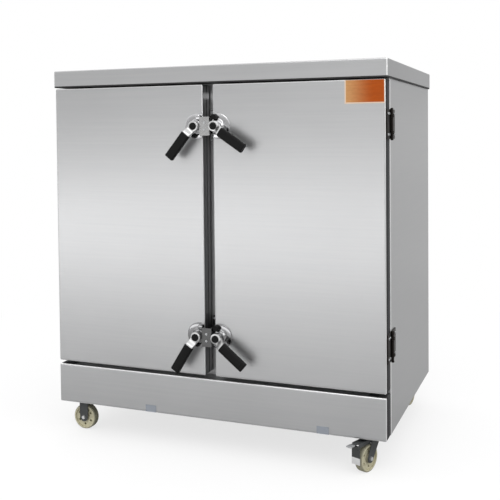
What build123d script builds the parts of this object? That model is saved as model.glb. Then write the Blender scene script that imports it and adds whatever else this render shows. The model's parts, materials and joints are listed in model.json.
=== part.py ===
from build123d import *
import os
from math import cos, sin, radians

# Rice steamer cabinet with two doors, on two fixed and two swivel casters.
# +Z is up, the doors face -Y, and the origin is on the floor under the middle.
os.makedirs("parts", exist_ok=True)

# Outer sizes of the cabinet.
body_width = 1344.0
cabinet_depth = 884.0
caster_height = 130.0
skirt_height = 153.0
skirt_gap = 14.0
door_height = 1097.0
door_thickness = 60.0
door_gap = 42.0
cap_gap = 11.0
cap_height = 61.0
cap_overhang = 8.0

# Sheet metal and general clearances.
sheet = 1.5
fit = 0.3
running_fit = 0.08

# Face frame, walls and chambers.
gasket_space = 8.0
face_plate = 3.0
wall = 40.0
chamber_margin = 30.0
steam_opening = 440.0
opening_radius = 30.0

# Door seal.
gasket_inset = 3.0
gasket_width = 18.0
skin_bend = 2.0

# Base frame, an inverted channel all round with a bar in the middle.
base_height = 40.0
base_bar = 62.0
base_sheet = 3.0
middle_bar = 80.0
pad_size = 130.0
pad_thickness = 5.0

# Water tanks and heaters.
tank_side_gap = 25.0
tank_end_gap = 86.0
tank_rim = 14.0
heater_tube = 12.0
heater_count = 3
heater_pitch = 120.0
heater_spread = 70.0
heater_end_gap = 120.0
heater_edge = 1.5
heater_height = 45.0
heater_plate = 6.0

# Tray racks and trays.
rail_count = 12
rail_width = 20.0
rail_thickness = 2.0
rail_first = 70.0
rail_pitch = 80.0
upright_width = 25.0
upright_thickness = 2.0
upright_inset = 60.0
rack_end_gap = 15.0
tray_height = 45.0
tray_sheet = 1.2
tray_lip = 10.0
tray_side_gap = 6.0
trays_per_chamber = 2

# Hinges, three knuckles each, with a pin through them.
fitting_inset_top = 156.0
fitting_inset_bottom = 153.0
hinge_height = 105.0
hinge_barrel = 8.0
hinge_pin = 4.0
hinge_leaf = 4.0
hinge_door_reach = 56.0
hinge_frame_reach = 72.0
hinge_middle = 58.0
hinge_row_inset = 16.0
hinge_screw_inset = 12.0
hinge_screw_near = 24.0
knuckle_gap = 0.5
pin_head = 6.5
pin_head_height = 4.0

# Lever latches.
latch_offset = 41.0
flange_radius = 48.0
flange_centre = 43.0
flange_edge = 22.5
flange_thickness = 4.0
latch_boss = 19.0
latch_boss_height = 22.0
latch_pin = 7.0
lever_hub = 20.0
lever_hub_thickness = 18.0
lever_neck = 32.0
lever_rise = 20.0
lever_bend = 33.0
lever_slope = 4.0
lever_arm_thickness = 14.0
lever_round = 2.0
tang_width = 22.0
tang_length = 100.0
tang_thickness = 8.0
grip_start = 37.0
grip_length = 113.0
grip_width = 36.0
grip_thickness = 22.0
grip_round = 7.0
lug_clearance = 0.8
lever_lug_width = 16.0
lever_lug_thickness = 10.0
latch_cap = 14.0
latch_cap_height = 5.0
bumper_radius = 11.5
bumper_height = 20.0
bumper_x = 33.0
bumper_rise = 34.0
upper_left_angle = 51.0
upper_right_angle = 34.0
lower_left_angle = 58.0
lower_right_angle = 39.0

# Keepers on the centre post.
keeper_clearance = 1.0
keeper_height = 70.0
keeper_proud = 32.0
keeper_plate = 8.0
keeper_stem = 26.0
keeper_foot = 4.0
keeper_round = 4.0
keeper_foot_height = 124.0
keeper_foot_width = 36.0
keeper_foot_screw_x = 20.0
keeper_foot_screw_z = 104.0
keeper_screw_pitch = 26.0

# Screws.
screw_head = 4.5
screw_head_height = 3.0
screw_shank = 2.4
screw_hole = 2.7

# Casters.
caster_inset_x = 71.0
caster_inset_front = 78.0
caster_inset_rear = 55.0
caster_plate_x = 92.0
caster_plate_y = 76.0
caster_plate_thickness = 4.0
caster_bolt_x = 68.0
caster_bolt_y = 54.0
caster_bolt = 3.8
caster_bolt_hole = 4.2
caster_head = 6.5
caster_head_height = 5.0
caster_trail = 36.0
wheel_radius = 50.0
wheel_width = 32.0
wheel_hub = 17.0
wheel_recess = 6.0
wheel_rim = 9.0
wheel_hole = 5.0
wheel_hole_circle = 30.0
wheel_hole_count = 6
axle_radius = 4.0
axle_nut = 7.5
axle_nut_height = 5.0
race_radius = 28.0
race_height = 8.0
king_pin = 6.0
king_head = 10.0
king_head_height = 5.0
fork_web = 34.0
fork_root_back = 26.0
fork_root_front = 24.0
fork_sheet = 3.0
fork_side_gap = 2.0
fork_foot = 16.0
fixed_leg = 20.0
fixed_foot = 18.0
front_right_turn = -112.0
rear_right_turn = -102.0

# Brake lever on the front right caster.
brake_width = 30.0
brake_pivot_z = 14.0
brake_pin = 3.0
brake_pin_end = 2.0
brake_lip = 2.0
brake_barrel = 5.5
brake_boss = 7.0
brake_plate = 34.0
brake_thickness = 3.0
brake_tab_length = 24.0
brake_tab_width = 18.0
brake_floor_gap = 42.0
brake_tread_gap = 8.0
brake_housing_start = 16.0
brake_housing_gap = 3.0

# Plates on the front, all plain.
corner_plate_width = 142.0
corner_plate_height = 82.0
corner_plate_thickness = 0.6
corner_plate_inset = 2.0
small_plate_width = 46.0
small_plate_height = 27.0
small_plate_x = (-256.0, 440.0)
small_plate_rise = 0.5

# Rear fittings.
rear_reach = 34.0
pipe_radius = 10.5
pipe_bore = 8.0
vent_radius = 19.0
vent_bore = 17.0
drain_radius = 14.0
drain_bore = 12.0
drain_drop = 30.0
drain_inset = 120.0
inlet_height = 250.0
inlet_x = 360.0
vent_drop = 90.0
gland_radius = 14.0
gland_bore = 7.0
gland_nut = 18.0
gland_nut_height = 8.0
gland_height = 230.0
pipe_collar = 8.0

# Levels above the floor.
skirt_z0 = caster_height
skirt_z1 = skirt_z0 + skirt_height
door_z0 = skirt_z1 + skirt_gap
door_z1 = door_z0 + door_height
cap_z0 = door_z1 + cap_gap
cap_z1 = cap_z0 + cap_height
base_z1 = skirt_z0 + base_height
pan_z1 = base_z1 + fit + sheet
chamber_z0 = door_z0 + chamber_margin
chamber_z1 = door_z1 - chamber_margin
latch_z = (door_z1 - fitting_inset_top, door_z0 + fitting_inset_bottom)

# Planes from front to back.
lever_stand = fit + flange_thickness + latch_boss_height + fit
latch_reach = lever_stand + lever_rise + (lever_arm_thickness + grip_thickness) / 2
front_y = -cabinet_depth / 2 + (latch_reach - rear_reach) / 2
back_y = front_y + cabinet_depth
door_back_y = front_y + door_thickness
face_y = door_back_y + gasket_space
liner_y0 = face_y + face_plate + fit
liner_y1 = back_y - wall

# Half widths from the middle.
half_body = body_width / 2
half_gap = door_gap / 2
centre_post = door_gap + 2 * (gasket_inset + gasket_width)
half_post = centre_post / 2
liner_outer = half_body - wall
door_width = half_body - half_gap
liner_width = liner_outer - half_post
liner_mid = half_post + liner_width / 2
keeper_width = door_gap - 2 * keeper_clearance
lever_lug = latch_offset - keeper_width / 2 - lug_clearance


def box(x0, x1, y0, y1, z0, z1, mode=Mode.ADD):
    """A block between two corners, added to or cut from the part being built."""
    with BuildSketch(Plane.XY.offset(z0)) as outline:
        with Locations(((x0 + x1) / 2, (y0 + y1) / 2)):
            Rectangle(abs(x1 - x0), abs(y1 - y0))
    extrude(outline.sketch, amount=z1 - z0, mode=mode)


def disc(centre, normal, radius, length, mode=Mode.ADD):
    """A round bar from a point along a direction."""
    with BuildSketch(Plane(origin=centre, z_dir=normal)) as outline:
        Circle(radius)
    extrude(outline.sketch, amount=length, mode=mode)


def save(part, name):
    """Label a finished piece and write it to its own file."""
    part.label = name
    export_step(part, "parts/" + name + ".step")


def screw(head_at, out, reach):
    """A round-headed screw: the head stands out, the shank goes the other way."""
    with BuildSketch(Plane(origin=head_at, z_dir=out)) as head:
        Circle(screw_head)
    extrude(head.sketch, amount=screw_head_height, taper=18)
    back = tuple(-v for v in out)
    disc(head_at, back, screw_shank, reach)


def side_screws(side, hinge_z, y_list):
    """Where the hinge screws sit on one side of the cabinet."""
    x = side * (half_body + fit + hinge_leaf)
    rise = hinge_height / 2 - hinge_row_inset
    return [(x, y, z + r) for z in hinge_z for y in y_list for r in (-rise, rise)]


# Hinge lines and screw rows.
hinge_x = half_body + fit + hinge_barrel
hinge_y = face_y
door_rows = (hinge_y - hinge_door_reach + hinge_screw_inset, hinge_y - hinge_screw_near)
frame_rows = (hinge_y + hinge_screw_near, hinge_y + hinge_frame_reach - hinge_screw_inset)
skin_reach = hinge_leaf + 2 * fit + sheet

# Latch flange screws, as offsets from the pivot: outwards and up.
flange_screws = ((32.0, 22.0), (32.0, -22.0), (-14.0, -36.0))

# Inverted-channel frame that carries the cabinet, with a pad over each caster.
frame_x = half_body - sheet - fit
frame_y0 = front_y + sheet + fit
frame_y1 = back_y - sheet - fit
caster_x = half_body - caster_inset_x
caster_y = (front_y + caster_inset_front, back_y - caster_inset_rear)
fixed_spots = [(-caster_x, y) for y in caster_y]
swivel_spots = [(caster_x, y) for y in caster_y]
caster_spots = fixed_spots + swivel_spots
with BuildPart() as base_frame:
    t = base_sheet
    x = frame_x
    y2 = frame_y0 + base_bar
    y3 = frame_y1 - base_bar
    top = base_z1 - t
    box(-x, x, frame_y0, frame_y1, skirt_z0, base_z1)
    for s in (-1, 1):
        box(s * middle_bar / 2, s * (x - base_bar), y2, y3, skirt_z0, base_z1, Mode.SUBTRACT)
        box(s * (x - base_bar + t), s * (x - t), frame_y0 + t, frame_y1 - t, skirt_z0, top, Mode.SUBTRACT)
    box(-x + t, x - t, frame_y0 + t, y2 - t, skirt_z0, top, Mode.SUBTRACT)
    box(-x + t, x - t, y3 + t, frame_y1 - t, skirt_z0, top, Mode.SUBTRACT)
    box(-middle_bar / 2 + t, middle_bar / 2 - t, frame_y0 + t, frame_y1 - t, skirt_z0, top, Mode.SUBTRACT)
    for s in (-1, 1):
        near = frame_y0 + pad_size
        far = frame_y1 - pad_size
        box(s * (x - pad_size), s * x, frame_y0, near, skirt_z0, skirt_z0 + pad_thickness)
        box(s * (x - pad_size), s * x, far, frame_y1, skirt_z0, skirt_z0 + pad_thickness)
    with BuildSketch(Plane.XY.offset(skirt_z0)):
        with Locations(*caster_spots):
            with GridLocations(caster_bolt_x, caster_bolt_y, 2, 2):
                Circle(caster_bolt_hole)
    extrude(amount=pad_thickness, mode=Mode.SUBTRACT)
save(base_frame.part, "base_frame")

# Tanks stand under the middle of each chamber, on the bottom pan.
chamber_mid_y = (liner_y0 + liner_y1) / 2
tank_width = liner_width - 2 * tank_side_gap
tank_y0 = liner_y0 + tank_end_gap
tank_y1 = liner_y1 - tank_end_gap
tank_z0 = pan_z1 + fit
tank_z1 = chamber_z0 - sheet - fit
drain_y = tank_y0 + drain_inset

with BuildPart() as bottom_pan:
    box(-frame_x, frame_x, face_y, frame_y1, base_z1 + fit, pan_z1)
    with BuildSketch(Plane.XY.offset(base_z1 + fit)):
        with Locations((-liner_mid, drain_y), (liner_mid, drain_y)):
            Circle(drain_radius + fit)
    extrude(amount=sheet, mode=Mode.SUBTRACT)
save(bottom_pan.part, "bottom_pan")


def side_panel(side):
    """One outer side sheet, drilled for the hinge screws."""
    with BuildPart() as panel:
        x = side * half_body
        box(x, x - side * sheet, face_y, back_y, skirt_z0, cap_z0 - fit)
        for place in side_screws(side, latch_z, frame_rows):
            spot = (x, place[1], place[2])
            disc(spot, (-side, 0, 0), screw_hole, sheet, Mode.SUBTRACT)
    return panel.part


save(side_panel(-1), "left_side_panel")
save(side_panel(1), "right_side_panel")

# Rear sheet between the sides, with holes for the pipes and the gland.
vent_z = chamber_z1 - vent_drop
with BuildPart() as back_panel:
    box(-frame_x, frame_x, back_y - sheet, back_y, skirt_z0, cap_z0 - fit)
    for s in (-1, 1):
        disc((s * inlet_x, back_y, inlet_height), (0, -1, 0), pipe_radius + fit, sheet, Mode.SUBTRACT)
        disc((s * liner_mid, back_y, vent_z), (0, -1, 0), vent_radius + fit, sheet, Mode.SUBTRACT)
    disc((0, back_y, gland_height), (0, -1, 0), gland_radius + fit, sheet, Mode.SUBTRACT)
save(back_panel.part, "back_panel")

# Folded cap over the body and the doors, open underneath behind the face frame.
cap_x = half_body + cap_overhang
with BuildPart() as top_cap:
    box(-cap_x, cap_x, front_y, back_y, cap_z0, cap_z1)
    upright = top_cap.edges().filter_by(Axis.Z)
    fillet(upright, skin_bend)
    x = cap_x - sheet
    box(-x, x, front_y + sheet, back_y - sheet, cap_z0 + sheet, cap_z1 - sheet, Mode.SUBTRACT)
    box(-frame_x, frame_x, liner_y0, frame_y1, cap_z0, cap_z0 + sheet, Mode.SUBTRACT)
save(top_cap.part, "top_cap")

# Flat frame with the two door openings and the post between them.
opening_width = liner_width - 2 * sheet
opening_height = chamber_z1 - chamber_z0
opening_mid_z = (chamber_z0 + chamber_z1) / 2
with BuildPart() as face_frame:
    box(-frame_x, frame_x, face_y, face_y + face_plate, pan_z1 + fit, cap_z0 - fit)
    with BuildSketch(Plane(origin=(0, face_y, opening_mid_z), x_dir=(1, 0, 0), z_dir=(0, -1, 0))):
        with Locations((-liner_mid, 0), (liner_mid, 0)):
            Rectangle(opening_width, opening_height)
    extrude(amount=-face_plate, mode=Mode.SUBTRACT)
save(face_frame.part, "face_frame")

# Skirt under the doors, a folded pan open at the back and underneath.
with BuildPart() as skirt_panel:
    box(-half_body, half_body, front_y, face_y - fit, skirt_z0, skirt_z1)
    front_corners = skirt_panel.edges().filter_by(Axis.Z).group_by(Axis.Y)[0]
    fillet(front_corners, skin_bend)
    x = half_body - sheet
    box(-x, x, front_y + sheet, face_y - fit, skirt_z0, skirt_z1 - sheet, Mode.SUBTRACT)
save(skirt_panel.part, "skirt_panel")


def liner(side):
    """The five sheets of a steam chamber: two sides, ceiling, floor and rear."""
    x0 = side * half_post
    x1 = side * liner_outer
    near = x0 + side * sheet
    far = x1 - side * sheet
    x2 = near + side * fit
    x3 = far - side * fit
    low = chamber_z0 - sheet
    high = chamber_z1 + sheet
    with BuildPart() as shell:
        box(x0, near, liner_y0, liner_y1, low, high)
        box(far, x1, liner_y0, liner_y1, low, high)
        box(x2, x3, liner_y0, liner_y1, chamber_z1, high)
        box(x2, x3, liner_y0, liner_y1, low, chamber_z0)
        box(x2, x3, liner_y1 - sheet, liner_y1, chamber_z0 + fit, chamber_z1 - fit)
        with BuildSketch(Plane.XY.offset(low)):
            with Locations((side * liner_mid, chamber_mid_y)):
                RectangleRounded(steam_opening, steam_opening, opening_radius)
        extrude(amount=sheet, mode=Mode.SUBTRACT)
        disc((side * liner_mid, liner_y1, vent_z), (0, -1, 0), vent_bore - fit, sheet, Mode.SUBTRACT)
    return shell.part


save(liner(-1), "left_liner")
save(liner(1), "right_liner")

# Insulation: side slabs, a slab between the chambers, a rear slab and the roof.
with BuildPart() as foam_insulation:
    foam_top = chamber_z1 + sheet
    foam_back = frame_y1 - fit
    foam_side = frame_x
    for s in (-1, 1):
        box(s * (liner_outer + fit), s * foam_side, liner_y0, frame_y1 - fit, pan_z1 + fit, foam_top)
    box(-half_post + fit, half_post - fit, liner_y0, liner_y1, chamber_z0 - sheet, foam_top)
    box(-liner_outer, liner_outer, liner_y1 + fit, foam_back, chamber_z0 - sheet, foam_top)
    for s in (-1, 1):
        disc((s * liner_mid, foam_back, vent_z), (0, -1, 0), vent_radius + fit, wall, Mode.SUBTRACT)
    box(-foam_side + fit, foam_side - fit, liner_y0 + fit, foam_back, foam_top + fit, cap_z0 + sheet)
    x = cap_x - sheet - fit
    box(-x, x, front_y + sheet + fit, back_y - sheet - fit, cap_z0 + sheet + fit, cap_z1 - sheet - fit)
save(foam_insulation.part, "foam_insulation")


def heater_spots(side):
    """Middle of each heater on the rear wall of a tank."""
    first = -(heater_count - 1) / 2
    return [side * liner_mid + (first + i) * heater_pitch for i in range(heater_count)]


heater_z = tank_z0 + heater_height


# Two open tanks with rims, drilled for their drains, inlets and heaters.
with BuildPart() as water_tanks:
    for side in (-1, 1):
        mid = side * liner_mid
        half = tank_width / 2
        box(mid - half, mid + half, tank_y0, tank_y1, tank_z0, tank_z1)
        x = half + tank_rim
        box(mid - x, mid + x, tank_y0 - tank_rim, tank_y1 + tank_rim, tank_z1 - sheet, tank_z1)
        x = half - sheet
        box(mid - x, mid + x, tank_y0 + sheet, tank_y1 - sheet, tank_z0 + sheet, tank_z1, Mode.SUBTRACT)
        disc((mid, drain_y, tank_z0), (0, 0, 1), drain_bore - fit, sheet, Mode.SUBTRACT)
        disc((side * inlet_x, tank_y1, inlet_height), (0, -1, 0), pipe_bore - fit, sheet, Mode.SUBTRACT)
        for hx in heater_spots(side):
            for offset in (-heater_spread / 2, heater_spread / 2):
                spot = (hx + offset, tank_y1, heater_z)
                disc(spot, (0, -1, 0), heater_tube / 2 + fit, sheet, Mode.SUBTRACT)
save(water_tanks.part, "water_tanks")

# Hairpin heaters, each with a terminal plate behind the tank wall.
with BuildPart() as heating_elements:
    for hx in heater_spots(-1) + heater_spots(1):
        half = heater_spread / 2
        y_end = tank_y0 + heater_end_gap
        y_start = tank_y1 + fit
        with BuildLine() as hairpin:
            Line((hx - half, y_start, heater_z), (hx - half, y_end, heater_z))
            bend = (hx, y_end - half, heater_z)
            ThreePointArc((hx - half, y_end, heater_z), bend, (hx + half, y_end, heater_z))
            Line((hx + half, y_end, heater_z), (hx + half, y_start, heater_z))
        with BuildSketch(Plane(origin=(hx - half, y_start, heater_z), z_dir=(0, -1, 0))):
            Circle(heater_tube / 2)
        sweep()
        wide = half + heater_tube
        high = heater_tube / 2 + heater_edge
        box(hx - wide, hx + wide, y_start, y_start + heater_plate, heater_z - high, heater_z + high)
save(heating_elements.part, "heating_elements")

# Rail heights are those of the seat on top of each rail.
rail_tops = [chamber_z0 + rail_first + i * rail_pitch for i in range(rail_count)]
rail_y0 = liner_y0 + rack_end_gap
rail_y1 = liner_y1 - sheet - rack_end_gap
rail_stand = fit + upright_thickness + fit + rail_width


# Uprights and angle rails on both walls of each chamber.
with BuildPart() as tray_racks:
    for side in (-1, 1):
        walls = ((side * (half_post + sheet), side), (side * (liner_outer - sheet), -side))
        for wall_x, inward in walls:
            x0 = wall_x + inward * fit
            x1 = x0 + inward * upright_thickness
            for y in (rail_y0 + upright_inset, rail_y1 - upright_inset):
                y_left = y - upright_width / 2
                box(x0, x1, y_left, y_left + upright_width, chamber_z0 + fit, chamber_z1 - fit)
            x2 = x1 + inward * fit
            x3 = x2 + inward * rail_width
            x4 = x2 + inward * rail_thickness
            for top in rail_tops:
                box(x2, x3, rail_y0, rail_y1, top - rail_thickness, top)
                box(x2, x4, rail_y0, rail_y1, top - rail_width / 2, top)
save(tray_racks.part, "tray_racks")

# Trays hang between the lowest rails by their side lips.
tray_half = opening_width / 2 - rail_stand - tray_side_gap
with BuildPart() as steam_trays:
    for side in (-1, 1):
        mid = side * liner_mid
        for top in rail_tops[:trays_per_chamber]:
            z1 = top + fit + tray_sheet
            z0 = z1 - tray_height
            y0 = rail_y0 + tray_lip
            y1 = rail_y1 - tray_lip
            lip = tray_half + tray_side_gap + tray_lip
            box(mid - lip, mid + lip, y0, y1, z1 - tray_sheet, z1)
            box(mid - tray_half, mid + tray_half, y0, y1, z0, z1)
            x = tray_half - tray_sheet
            y0 = y0 + tray_sheet
            y1 = y1 - tray_sheet
            box(mid - x, mid + x, y0, y1, z0 + tray_sheet, z1, Mode.SUBTRACT)
save(steam_trays.part, "steam_trays")


def rear_pipe(x, z, y_in, outer, bore):
    """A pipe from inside out through the back, with a collar on the outside."""
    disc((x, y_in, z), (0, 1, 0), outer, back_y + rear_reach - y_in)
    disc((x, back_y + fit, z), (0, 1, 0), outer + pipe_collar, heater_plate)
    disc((x, y_in, z), (0, 1, 0), bore, back_y + rear_reach - y_in, Mode.SUBTRACT)


with BuildPart() as water_inlets:
    for s in (-1, 1):
        rear_pipe(s * inlet_x, inlet_height, tank_y1 + fit, pipe_radius, pipe_bore)
save(water_inlets.part, "water_inlets")

with BuildPart() as steam_vents:
    for s in (-1, 1):
        rear_pipe(s * liner_mid, vent_z, liner_y1 + fit, vent_radius, vent_bore)
save(steam_vents.part, "steam_vents")

with BuildPart() as drain_pipes:
    for s in (-1, 1):
        low = base_z1 - drain_drop
        disc((s * liner_mid, drain_y, low), (0, 0, 1), drain_radius, pan_z1 - low)
        disc((s * liner_mid, drain_y, base_z1), (0, 0, -1), drain_radius + pipe_collar, heater_plate)
    for s in (-1, 1):
        disc((s * liner_mid, drain_y, low), (0, 0, 1), drain_bore, pan_z1 - low, Mode.SUBTRACT)
save(drain_pipes.part, "drain_pipes")

# Cable gland in the rear sheet, with a nut on each side.
with BuildPart() as cable_gland:
    inside = back_y - sheet - fit - gland_nut_height
    outside = back_y + fit + gland_nut_height
    disc((0, inside, gland_height), (0, 1, 0), gland_radius, back_y + rear_reach - fit - inside)
    for y in (inside, back_y + fit):
        with BuildSketch(Plane(origin=(0, y, gland_height), z_dir=(0, 1, 0))):
            RegularPolygon(gland_nut, 6)
        extrude(amount=gland_nut_height)
    disc((0, inside, gland_height), (0, 1, 0), gland_bore, back_y + rear_reach - inside, Mode.SUBTRACT)
save(cable_gland.part, "cable_gland")

# Keepers stand on the centre post and reach out between the doors.
keeper_front = front_y - keeper_proud
foot_front = face_y - fit - keeper_foot
foot_spots = [
    (sx * keeper_foot_screw_x / 2, z + sz * keeper_foot_screw_z / 2)
    for z in latch_z
    for sx in (-1, 1)
    for sz in (-1, 1)
]
keeper_spots = [(0, z + r * keeper_screw_pitch / 2) for z in latch_z for r in (-1, 1)]
with BuildPart() as latch_keepers:
    half = keeper_width / 2
    foot = keeper_foot_width / 2
    stem = keeper_stem / 2
    for z in latch_z:
        tall = keeper_foot_height / 2
        box(-foot, foot, foot_front, face_y - fit, z - tall, z + tall)
        rise = keeper_height / 2
        box(-stem, stem, keeper_front, face_y - fit, z - rise + keeper_plate, z + rise - keeper_plate)
        box(-half, half, keeper_front, keeper_front + keeper_plate, z - rise, z + rise)
    outer = latch_keepers.edges().filter_by(Axis.Y).group_by(Axis.Y)[0]
    fillet(outer, keeper_round)
    for x, z in keeper_spots:
        disc((x, keeper_front, z), (0, 1, 0), screw_hole, 2 * keeper_plate, Mode.SUBTRACT)
    for x, z in foot_spots:
        disc((x, foot_front, z), (0, 1, 0), screw_hole, keeper_foot, Mode.SUBTRACT)
save(latch_keepers.part, "latch_keepers")


def hinge_half(side, z, sign, knuckles):
    """A hinge leaf with its knuckles; sign is -1 for the door leaf, +1 for the frame leaf."""
    x0 = side * (half_body + fit)
    x1 = x0 + side * hinge_leaf
    reach = hinge_frame_reach if sign > 0 else hinge_door_reach
    near = hinge_y + sign * (hinge_barrel + knuckle_gap)
    box(x0, x1, hinge_y + sign * reach, near, z - hinge_height / 2, z + hinge_height / 2)
    for low, high in knuckles:
        box(x0, x1, near, hinge_y, z + low, z + high)
        disc((side * hinge_x, hinge_y, z + low), (0, 0, 1), hinge_barrel, high - low)
    for low, high in knuckles:
        bore = hinge_pin + running_fit
        disc((side * hinge_x, hinge_y, z + low), (0, 0, 1), bore, high - low, Mode.SUBTRACT)


def leaf_holes(side, rows):
    """Screw holes through the hinge leaves."""
    for place in side_screws(side, latch_z, rows):
        disc(place, (-side, 0, 0), screw_hole, hinge_leaf, Mode.SUBTRACT)


middle_knuckle = ((-hinge_middle / 2, hinge_middle / 2),)
end_low = (-hinge_height / 2, -hinge_middle / 2 - knuckle_gap)
end_high = (hinge_middle / 2 + knuckle_gap, hinge_height / 2)

with BuildPart() as hinge_frame_leaves:
    for s in (-1, 1):
        for z in latch_z:
            hinge_half(s, z, 1, (end_low, end_high))
        leaf_holes(s, frame_rows)
save(hinge_frame_leaves.part, "hinge_frame_leaves")

with BuildPart() as hinge_pins:
    for s in (-1, 1):
        for z in latch_z:
            low = z - hinge_height / 2 - fit
            disc((s * hinge_x, hinge_y, low), (0, 0, 1), hinge_pin, hinge_height + 2 * fit)
            for end, way in ((low, -1), (low + hinge_height + 2 * fit, 1)):
                with BuildSketch(Plane(origin=(s * hinge_x, hinge_y, end), z_dir=(0, 0, way))):
                    Circle(pin_head)
                extrude(amount=pin_head_height, taper=30)
save(hinge_pins.part, "hinge_pins")

# Screws that stay with the body: frame leaves and keepers.
with BuildPart() as body_screws:
    for s in (-1, 1):
        for x, y, z in side_screws(s, latch_z, frame_rows):
            screw((x + s * fit, y, z), (s, 0, 0), skin_reach)
    for x, z in keeper_spots:
        screw((x, keeper_front - fit, z), (0, -1, 0), keeper_plate)
    for x, z in foot_spots:
        screw((x, foot_front - fit, z), (0, -1, 0), keeper_foot + fit)
save(body_screws.part, "body_screws")

# Small plain plates near the lower edge of the skirt.
with BuildPart() as skirt_plates:
    for x in small_plate_x:
        half = small_plate_width / 2
        z = skirt_z0 + small_plate_rise
        y = front_y - fit
        box(x - half, x + half, y - corner_plate_thickness, y, z, z + small_plate_height)
save(skirt_plates.part, "skirt_plates")

# The plain coloured plate in the top corner of the right door.
with BuildPart() as corner_plate:
    x = half_body - corner_plate_inset
    z = door_z1 - corner_plate_inset
    y = front_y - fit
    box(x - corner_plate_width, x, y - corner_plate_thickness, y, z - corner_plate_height, z)
save(corner_plate.part, "corner_plate")


def front_plane(y):
    """A sketch plane facing the front: first axis to the right, second up."""
    return Plane(origin=(0, y, 0), x_dir=(1, 0, 0), z_dir=(0, -1, 0))


def flange_places(side):
    """Where the latch flange screws sit on one door."""
    return [(side * (latch_offset + dx), z + dz) for z in latch_z for dx, dz in flange_screws]


def door_skin(side):
    """The outer pan of a door, open at the back."""
    with BuildPart() as skin:
        x0 = side * half_gap
        x1 = side * half_body
        box(x0, x1, front_y, door_back_y, door_z0, door_z1)
        corners = skin.edges().filter_by(Axis.Z).group_by(Axis.Y)[0]
        fillet(corners, skin_bend)
        t = side * sheet
        box(x0 + t, x1 - t, front_y + sheet, door_back_y, door_z0 + sheet, door_z1 - sheet, Mode.SUBTRACT)
        for place in side_screws(side, latch_z, door_rows):
            disc((x1, place[1], place[2]), (-side, 0, 0), screw_hole, sheet, Mode.SUBTRACT)
        for x, z in flange_places(side):
            disc((x, front_y, z), (0, 1, 0), screw_hole, sheet, Mode.SUBTRACT)
    return skin.part


def door_inner(side):
    """The inner sheet that closes the back of a door."""
    with BuildPart() as pan:
        edge = side * (sheet + fit)
        z = sheet + fit
        x0 = side * half_gap + edge
        x1 = side * half_body - edge
        box(x0, x1, door_back_y - sheet, door_back_y, door_z0 + z, door_z1 - z)
    return pan.part


def door_foam(side):
    """The insulation between the two sheets of a door."""
    with BuildPart() as core:
        edge = side * (sheet + fit)
        z = sheet + fit
        x0 = side * half_gap + edge
        x1 = side * half_body - edge
        box(x0, x1, front_y + z, door_back_y - z, door_z0 + z, door_z1 - z)
    return core.part


def door_gasket(side):
    """The seal round the back of a door."""
    with BuildPart() as seal:
        mid_x = side * (half_gap + door_width / 2)
        mid_z = (door_z0 + door_z1) / 2
        w = door_width - 2 * gasket_inset
        h = door_height - 2 * gasket_inset
        with BuildSketch(front_plane(face_y - fit)):
            with Locations((mid_x, mid_z)):
                Rectangle(w, h)
                Rectangle(w - 2 * gasket_width, h - 2 * gasket_width, mode=Mode.SUBTRACT)
        extrude(amount=gasket_space - 2 * fit)
    return seal.part


def door_leaves(side):
    """The two hinge leaves that move with a door."""
    with BuildPart() as leaves:
        for z in latch_z:
            hinge_half(side, z, -1, middle_knuckle)
        leaf_holes(side, door_rows)
    return leaves.part


def latch_bases(side):
    """The D-shaped flanges with their bosses and pivot pins."""
    with BuildPart() as bases:
        for z in latch_z:
            with BuildSketch(front_plane(front_y - fit)):
                with Locations((side * flange_centre, z)):
                    Circle(flange_radius)
                with Locations((side * (flange_edge + flange_radius), z)):
                    Rectangle(2 * flange_radius, 2 * flange_radius, mode=Mode.INTERSECT)
            extrude(amount=flange_thickness)
            y = front_y - fit - flange_thickness
            with BuildSketch(front_plane(y)):
                with Locations((side * latch_offset, z)):
                    Circle(latch_boss)
            extrude(amount=latch_boss_height, taper=6)
            pin = 2 * fit + lever_hub_thickness + latch_cap_height / 2
            disc((side * latch_offset, y - latch_boss_height, z), (0, -1, 0), latch_pin, pin)
            if side < 0:
                with BuildSketch(front_plane(y)):
                    with Locations((side * bumper_x, z + bumper_rise)):
                        Circle(bumper_radius)
                extrude(amount=bumper_height - latch_cap_height, taper=12)
        for x, z in flange_places(side):
            spot = (x, front_y - fit, z)
            disc(spot, (0, -1, 0), screw_hole, flange_thickness, Mode.SUBTRACT)
    return bases.part


def latch_caps(side):
    """Black caps on the pivots, and the black bumpers of the right door."""
    with BuildPart() as caps:
        for z in latch_z:
            y = front_y - lever_stand - lever_hub_thickness - fit
            with BuildSketch(front_plane(y)):
                with Locations((side * latch_offset, z)):
                    Circle(latch_cap)
            extrude(amount=latch_cap_height, taper=20)
            depth = latch_cap_height / 2 + fit
            disc((side * latch_offset, y, z), (0, -1, 0), latch_pin + fit, depth, Mode.SUBTRACT)
            if side > 0:
                with BuildSketch(front_plane(front_y - 2 * fit - flange_thickness)):
                    with Locations((side * bumper_x, z + bumper_rise)):
                        Circle(bumper_radius)
                extrude(amount=bumper_height, taper=4)
    return caps.part


def door_screws(side):
    """Screws of the hinge leaves and latch flanges on one door."""
    with BuildPart() as screws:
        for x, y, z in side_screws(side, latch_z, door_rows):
            screw((x + side * fit, y, z), (side, 0, 0), skin_reach)
        y = front_y - 2 * fit - flange_thickness
        for x, z in flange_places(side):
            screw((x, y, z), (0, -1, 0), flange_thickness + 2 * fit + sheet)
    return screws.part


def lever_planes(side, z, droop):
    """Planes of a lever at rest: one seen from the front, one along its side."""
    pivot = (side * latch_offset, front_y - lever_stand, z)
    along = (side * cos(radians(droop)), 0, -sin(radians(droop)))
    top_view = Plane(origin=pivot, x_dir=along, z_dir=(0, -1, 0))
    return top_view, Plane(origin=pivot, x_dir=along, z_dir=top_view.y_dir)


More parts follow.
